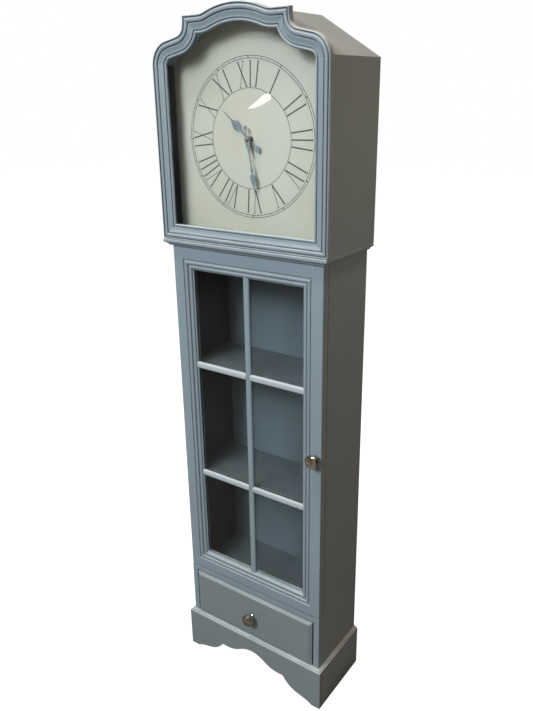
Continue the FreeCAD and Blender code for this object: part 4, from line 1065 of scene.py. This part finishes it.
def make_room():
    world = bpy.data.worlds.new("Room")
    scene.world = world
    world.use_nodes = True
    tree = world.node_tree
    background = tree.nodes["Background"]
    direct = seen_directly(tree)
    tree.links.new(mixed(tree, direct, ROOM_COLOUR, WHITE), background.inputs["Color"])
    strength = stretched(tree, direct, 0.0, 1.0, ROOM_STRENGTH, 1.0)
    kept = stretched(tree, counted_already(tree), 0.0, 1.0, 1.0, 0.0)
    tree.links.new(combined(tree, "MULTIPLY", strength, kept), background.inputs["Strength"])


make_room()
print("room strength:", ROOM_STRENGTH)

# %% [markdown]
# To the right of the cabinet the room is dark: its right-hand faces and the right-hand sides of the knobs
# show that. A dark screen stands there. It shades and is mirrored, but the camera doesn't see it.

# %% Dark screen at the right
SCREEN_X = 1.7
SCREEN_HALF = 2.4
SCREEN_HEIGHT = 2.1
SCREEN_CLOTH = screen_colour(48, 44, 40)


def make_dark_screen():
    material, tree, shader = new_material("Dark_cloth", Roughness=0.9)
    shader["Base Color"].default_value = SCREEN_CLOTH
    edges = ((-1, 0), (1, 0), (1, SCREEN_HEIGHT), (-1, SCREEN_HEIGHT))
    corners = [(SCREEN_X, side * SCREEN_HALF, height) for side, height in edges]
    screen = add_card("dark_screen", corners, material)
    screen.visible_camera = False
    screen.visible_transmission = False


make_dark_screen()
print("dark screen at x =", SCREEN_X)

# %% [markdown]
# The strongest lamp is cool and hangs high at the front, a little to the left, where the glass over the
# dial can't mirror it to someone who stands before it. One under the ceiling lights the ledges, a warm one
# and a small low one give the right-hand side its little light, and one stands behind to light the back.

# %% Lamps
# Name, place, target, side of the square in metres, watts, colour
lamps = [("front_lamp", (-0.4, -3.6, 3.3), (0, 0, 1.0), 1.2, 175, (0.93, 0.96, 1.0)),
         ("ceiling_lamp", (-0.2, -0.9, 3.6), (0, 0, 1.2), 0.5, 36, (1.0, 0.79, 0.60)),
         ("warm_lamp", (1.2, 0.6, 4.0), (0, 0, 1.0), 0.4, 33, (1.0, 0.61, 0.39)),
         ("side_lamp", (1.0, 0.2, 1.3), (0.2, 0, 1.3), 0.25, 1.5, (1.0, 0.80, 0.60)),
         ("back_lamp", (-0.9, 2.6, 1.3), (0, 0, 1.0), 1.4, 35, (1.0, 0.94, 0.88))]


def add_lamp(name, place, target, size, watts, colour):
    """Square area lamp that looks at a target."""
    light = bpy.data.lights.new(name, "AREA")
    light.size = size
    light.energy = watts
    light.color = colour
    lamp = bpy.data.objects.new(name, light)
    lamp.location = place
    lamp.rotation_euler = (Vector(target) - Vector(place)).to_track_quat("-Z", "Y").to_euler()
    lamp.visible_transmission = False
    scene.collection.objects.link(lamp)
    print(name, "at", place, "with", watts, "watts")


for lamp_row in lamps:
    add_lamp(*lamp_row)

# %% [markdown]
# The glass over the dial mirrors one bright wedge, a chink of daylight at the front left. A mirror image
# is the light's own work, so a small glowing card hangs where the glass shows it. Only mirrored rays see
# it, and it is too small to light anything.

# %% A chink of daylight for the glass
CHINK_DISTANCE = -2.5
CHINK_GLOW = 19.0
chink_outline = [(-1.776, 1.369), (-1.717, 1.405), (-1.664, 1.443), (-1.622, 1.455), (-1.599, 1.449),
                 (-1.604, 1.422), (-1.652, 1.398), (-1.711, 1.379)]


def make_chink():
    material, tree, shader = new_material("Daylight", Roughness=0.9, Emission_Strength=CHINK_GLOW)
    shader["Base Color"].default_value = BLACK
    shader["Emission Color"].default_value = WHITE
    chink = add_card("chink_of_daylight", [(x, CHINK_DISTANCE, z) for x, z in chink_outline], material)
    chink.visible_camera = False
    chink.visible_diffuse = False
    chink.visible_transmission = False
    chink.visible_shadow = False


make_chink()
print("chink corners:", len(chink_outline))

# %% [markdown]
# ## The camera
# The photograph was taken from the front right and from above, a little tilted. Place, turn and lens were
# worked out from the corners of the cabinet. Blender's camera looks along its own minus Z with Y up, so
# the matrix takes the three directions as columns.

# %% Camera
CAMERA_PLACE = Vector((0.89354, -1.25254, 1.46988))
YAW = math.radians(35.427)
PITCH = math.radians(-20.688)
ROLL = math.radians(-0.962)
LENS = 35.474


def make_camera():
    ahead = Vector((-math.sin(YAW) * math.cos(PITCH), math.cos(YAW) * math.cos(PITCH), math.sin(PITCH)))
    level = Vector((math.cos(YAW), math.sin(YAW), 0))
    above = level.cross(ahead)
    right = level * math.cos(ROLL) + above * math.sin(ROLL)
    up = above * math.cos(ROLL) - level * math.sin(ROLL)
    data = bpy.data.cameras.new("camera")
    data.lens = LENS
    camera = bpy.data.objects.new("camera", data)
    turn = Matrix((right, up, -ahead)).transposed().to_4x4()
    camera.matrix_world = Matrix.Translation(CAMERA_PLACE) @ turn
    scene.collection.objects.link(camera)
    scene.camera = camera


make_camera()
scene.view_settings.view_transform = "Standard"
print("camera at", [round(v, 3) for v in CAMERA_PLACE])
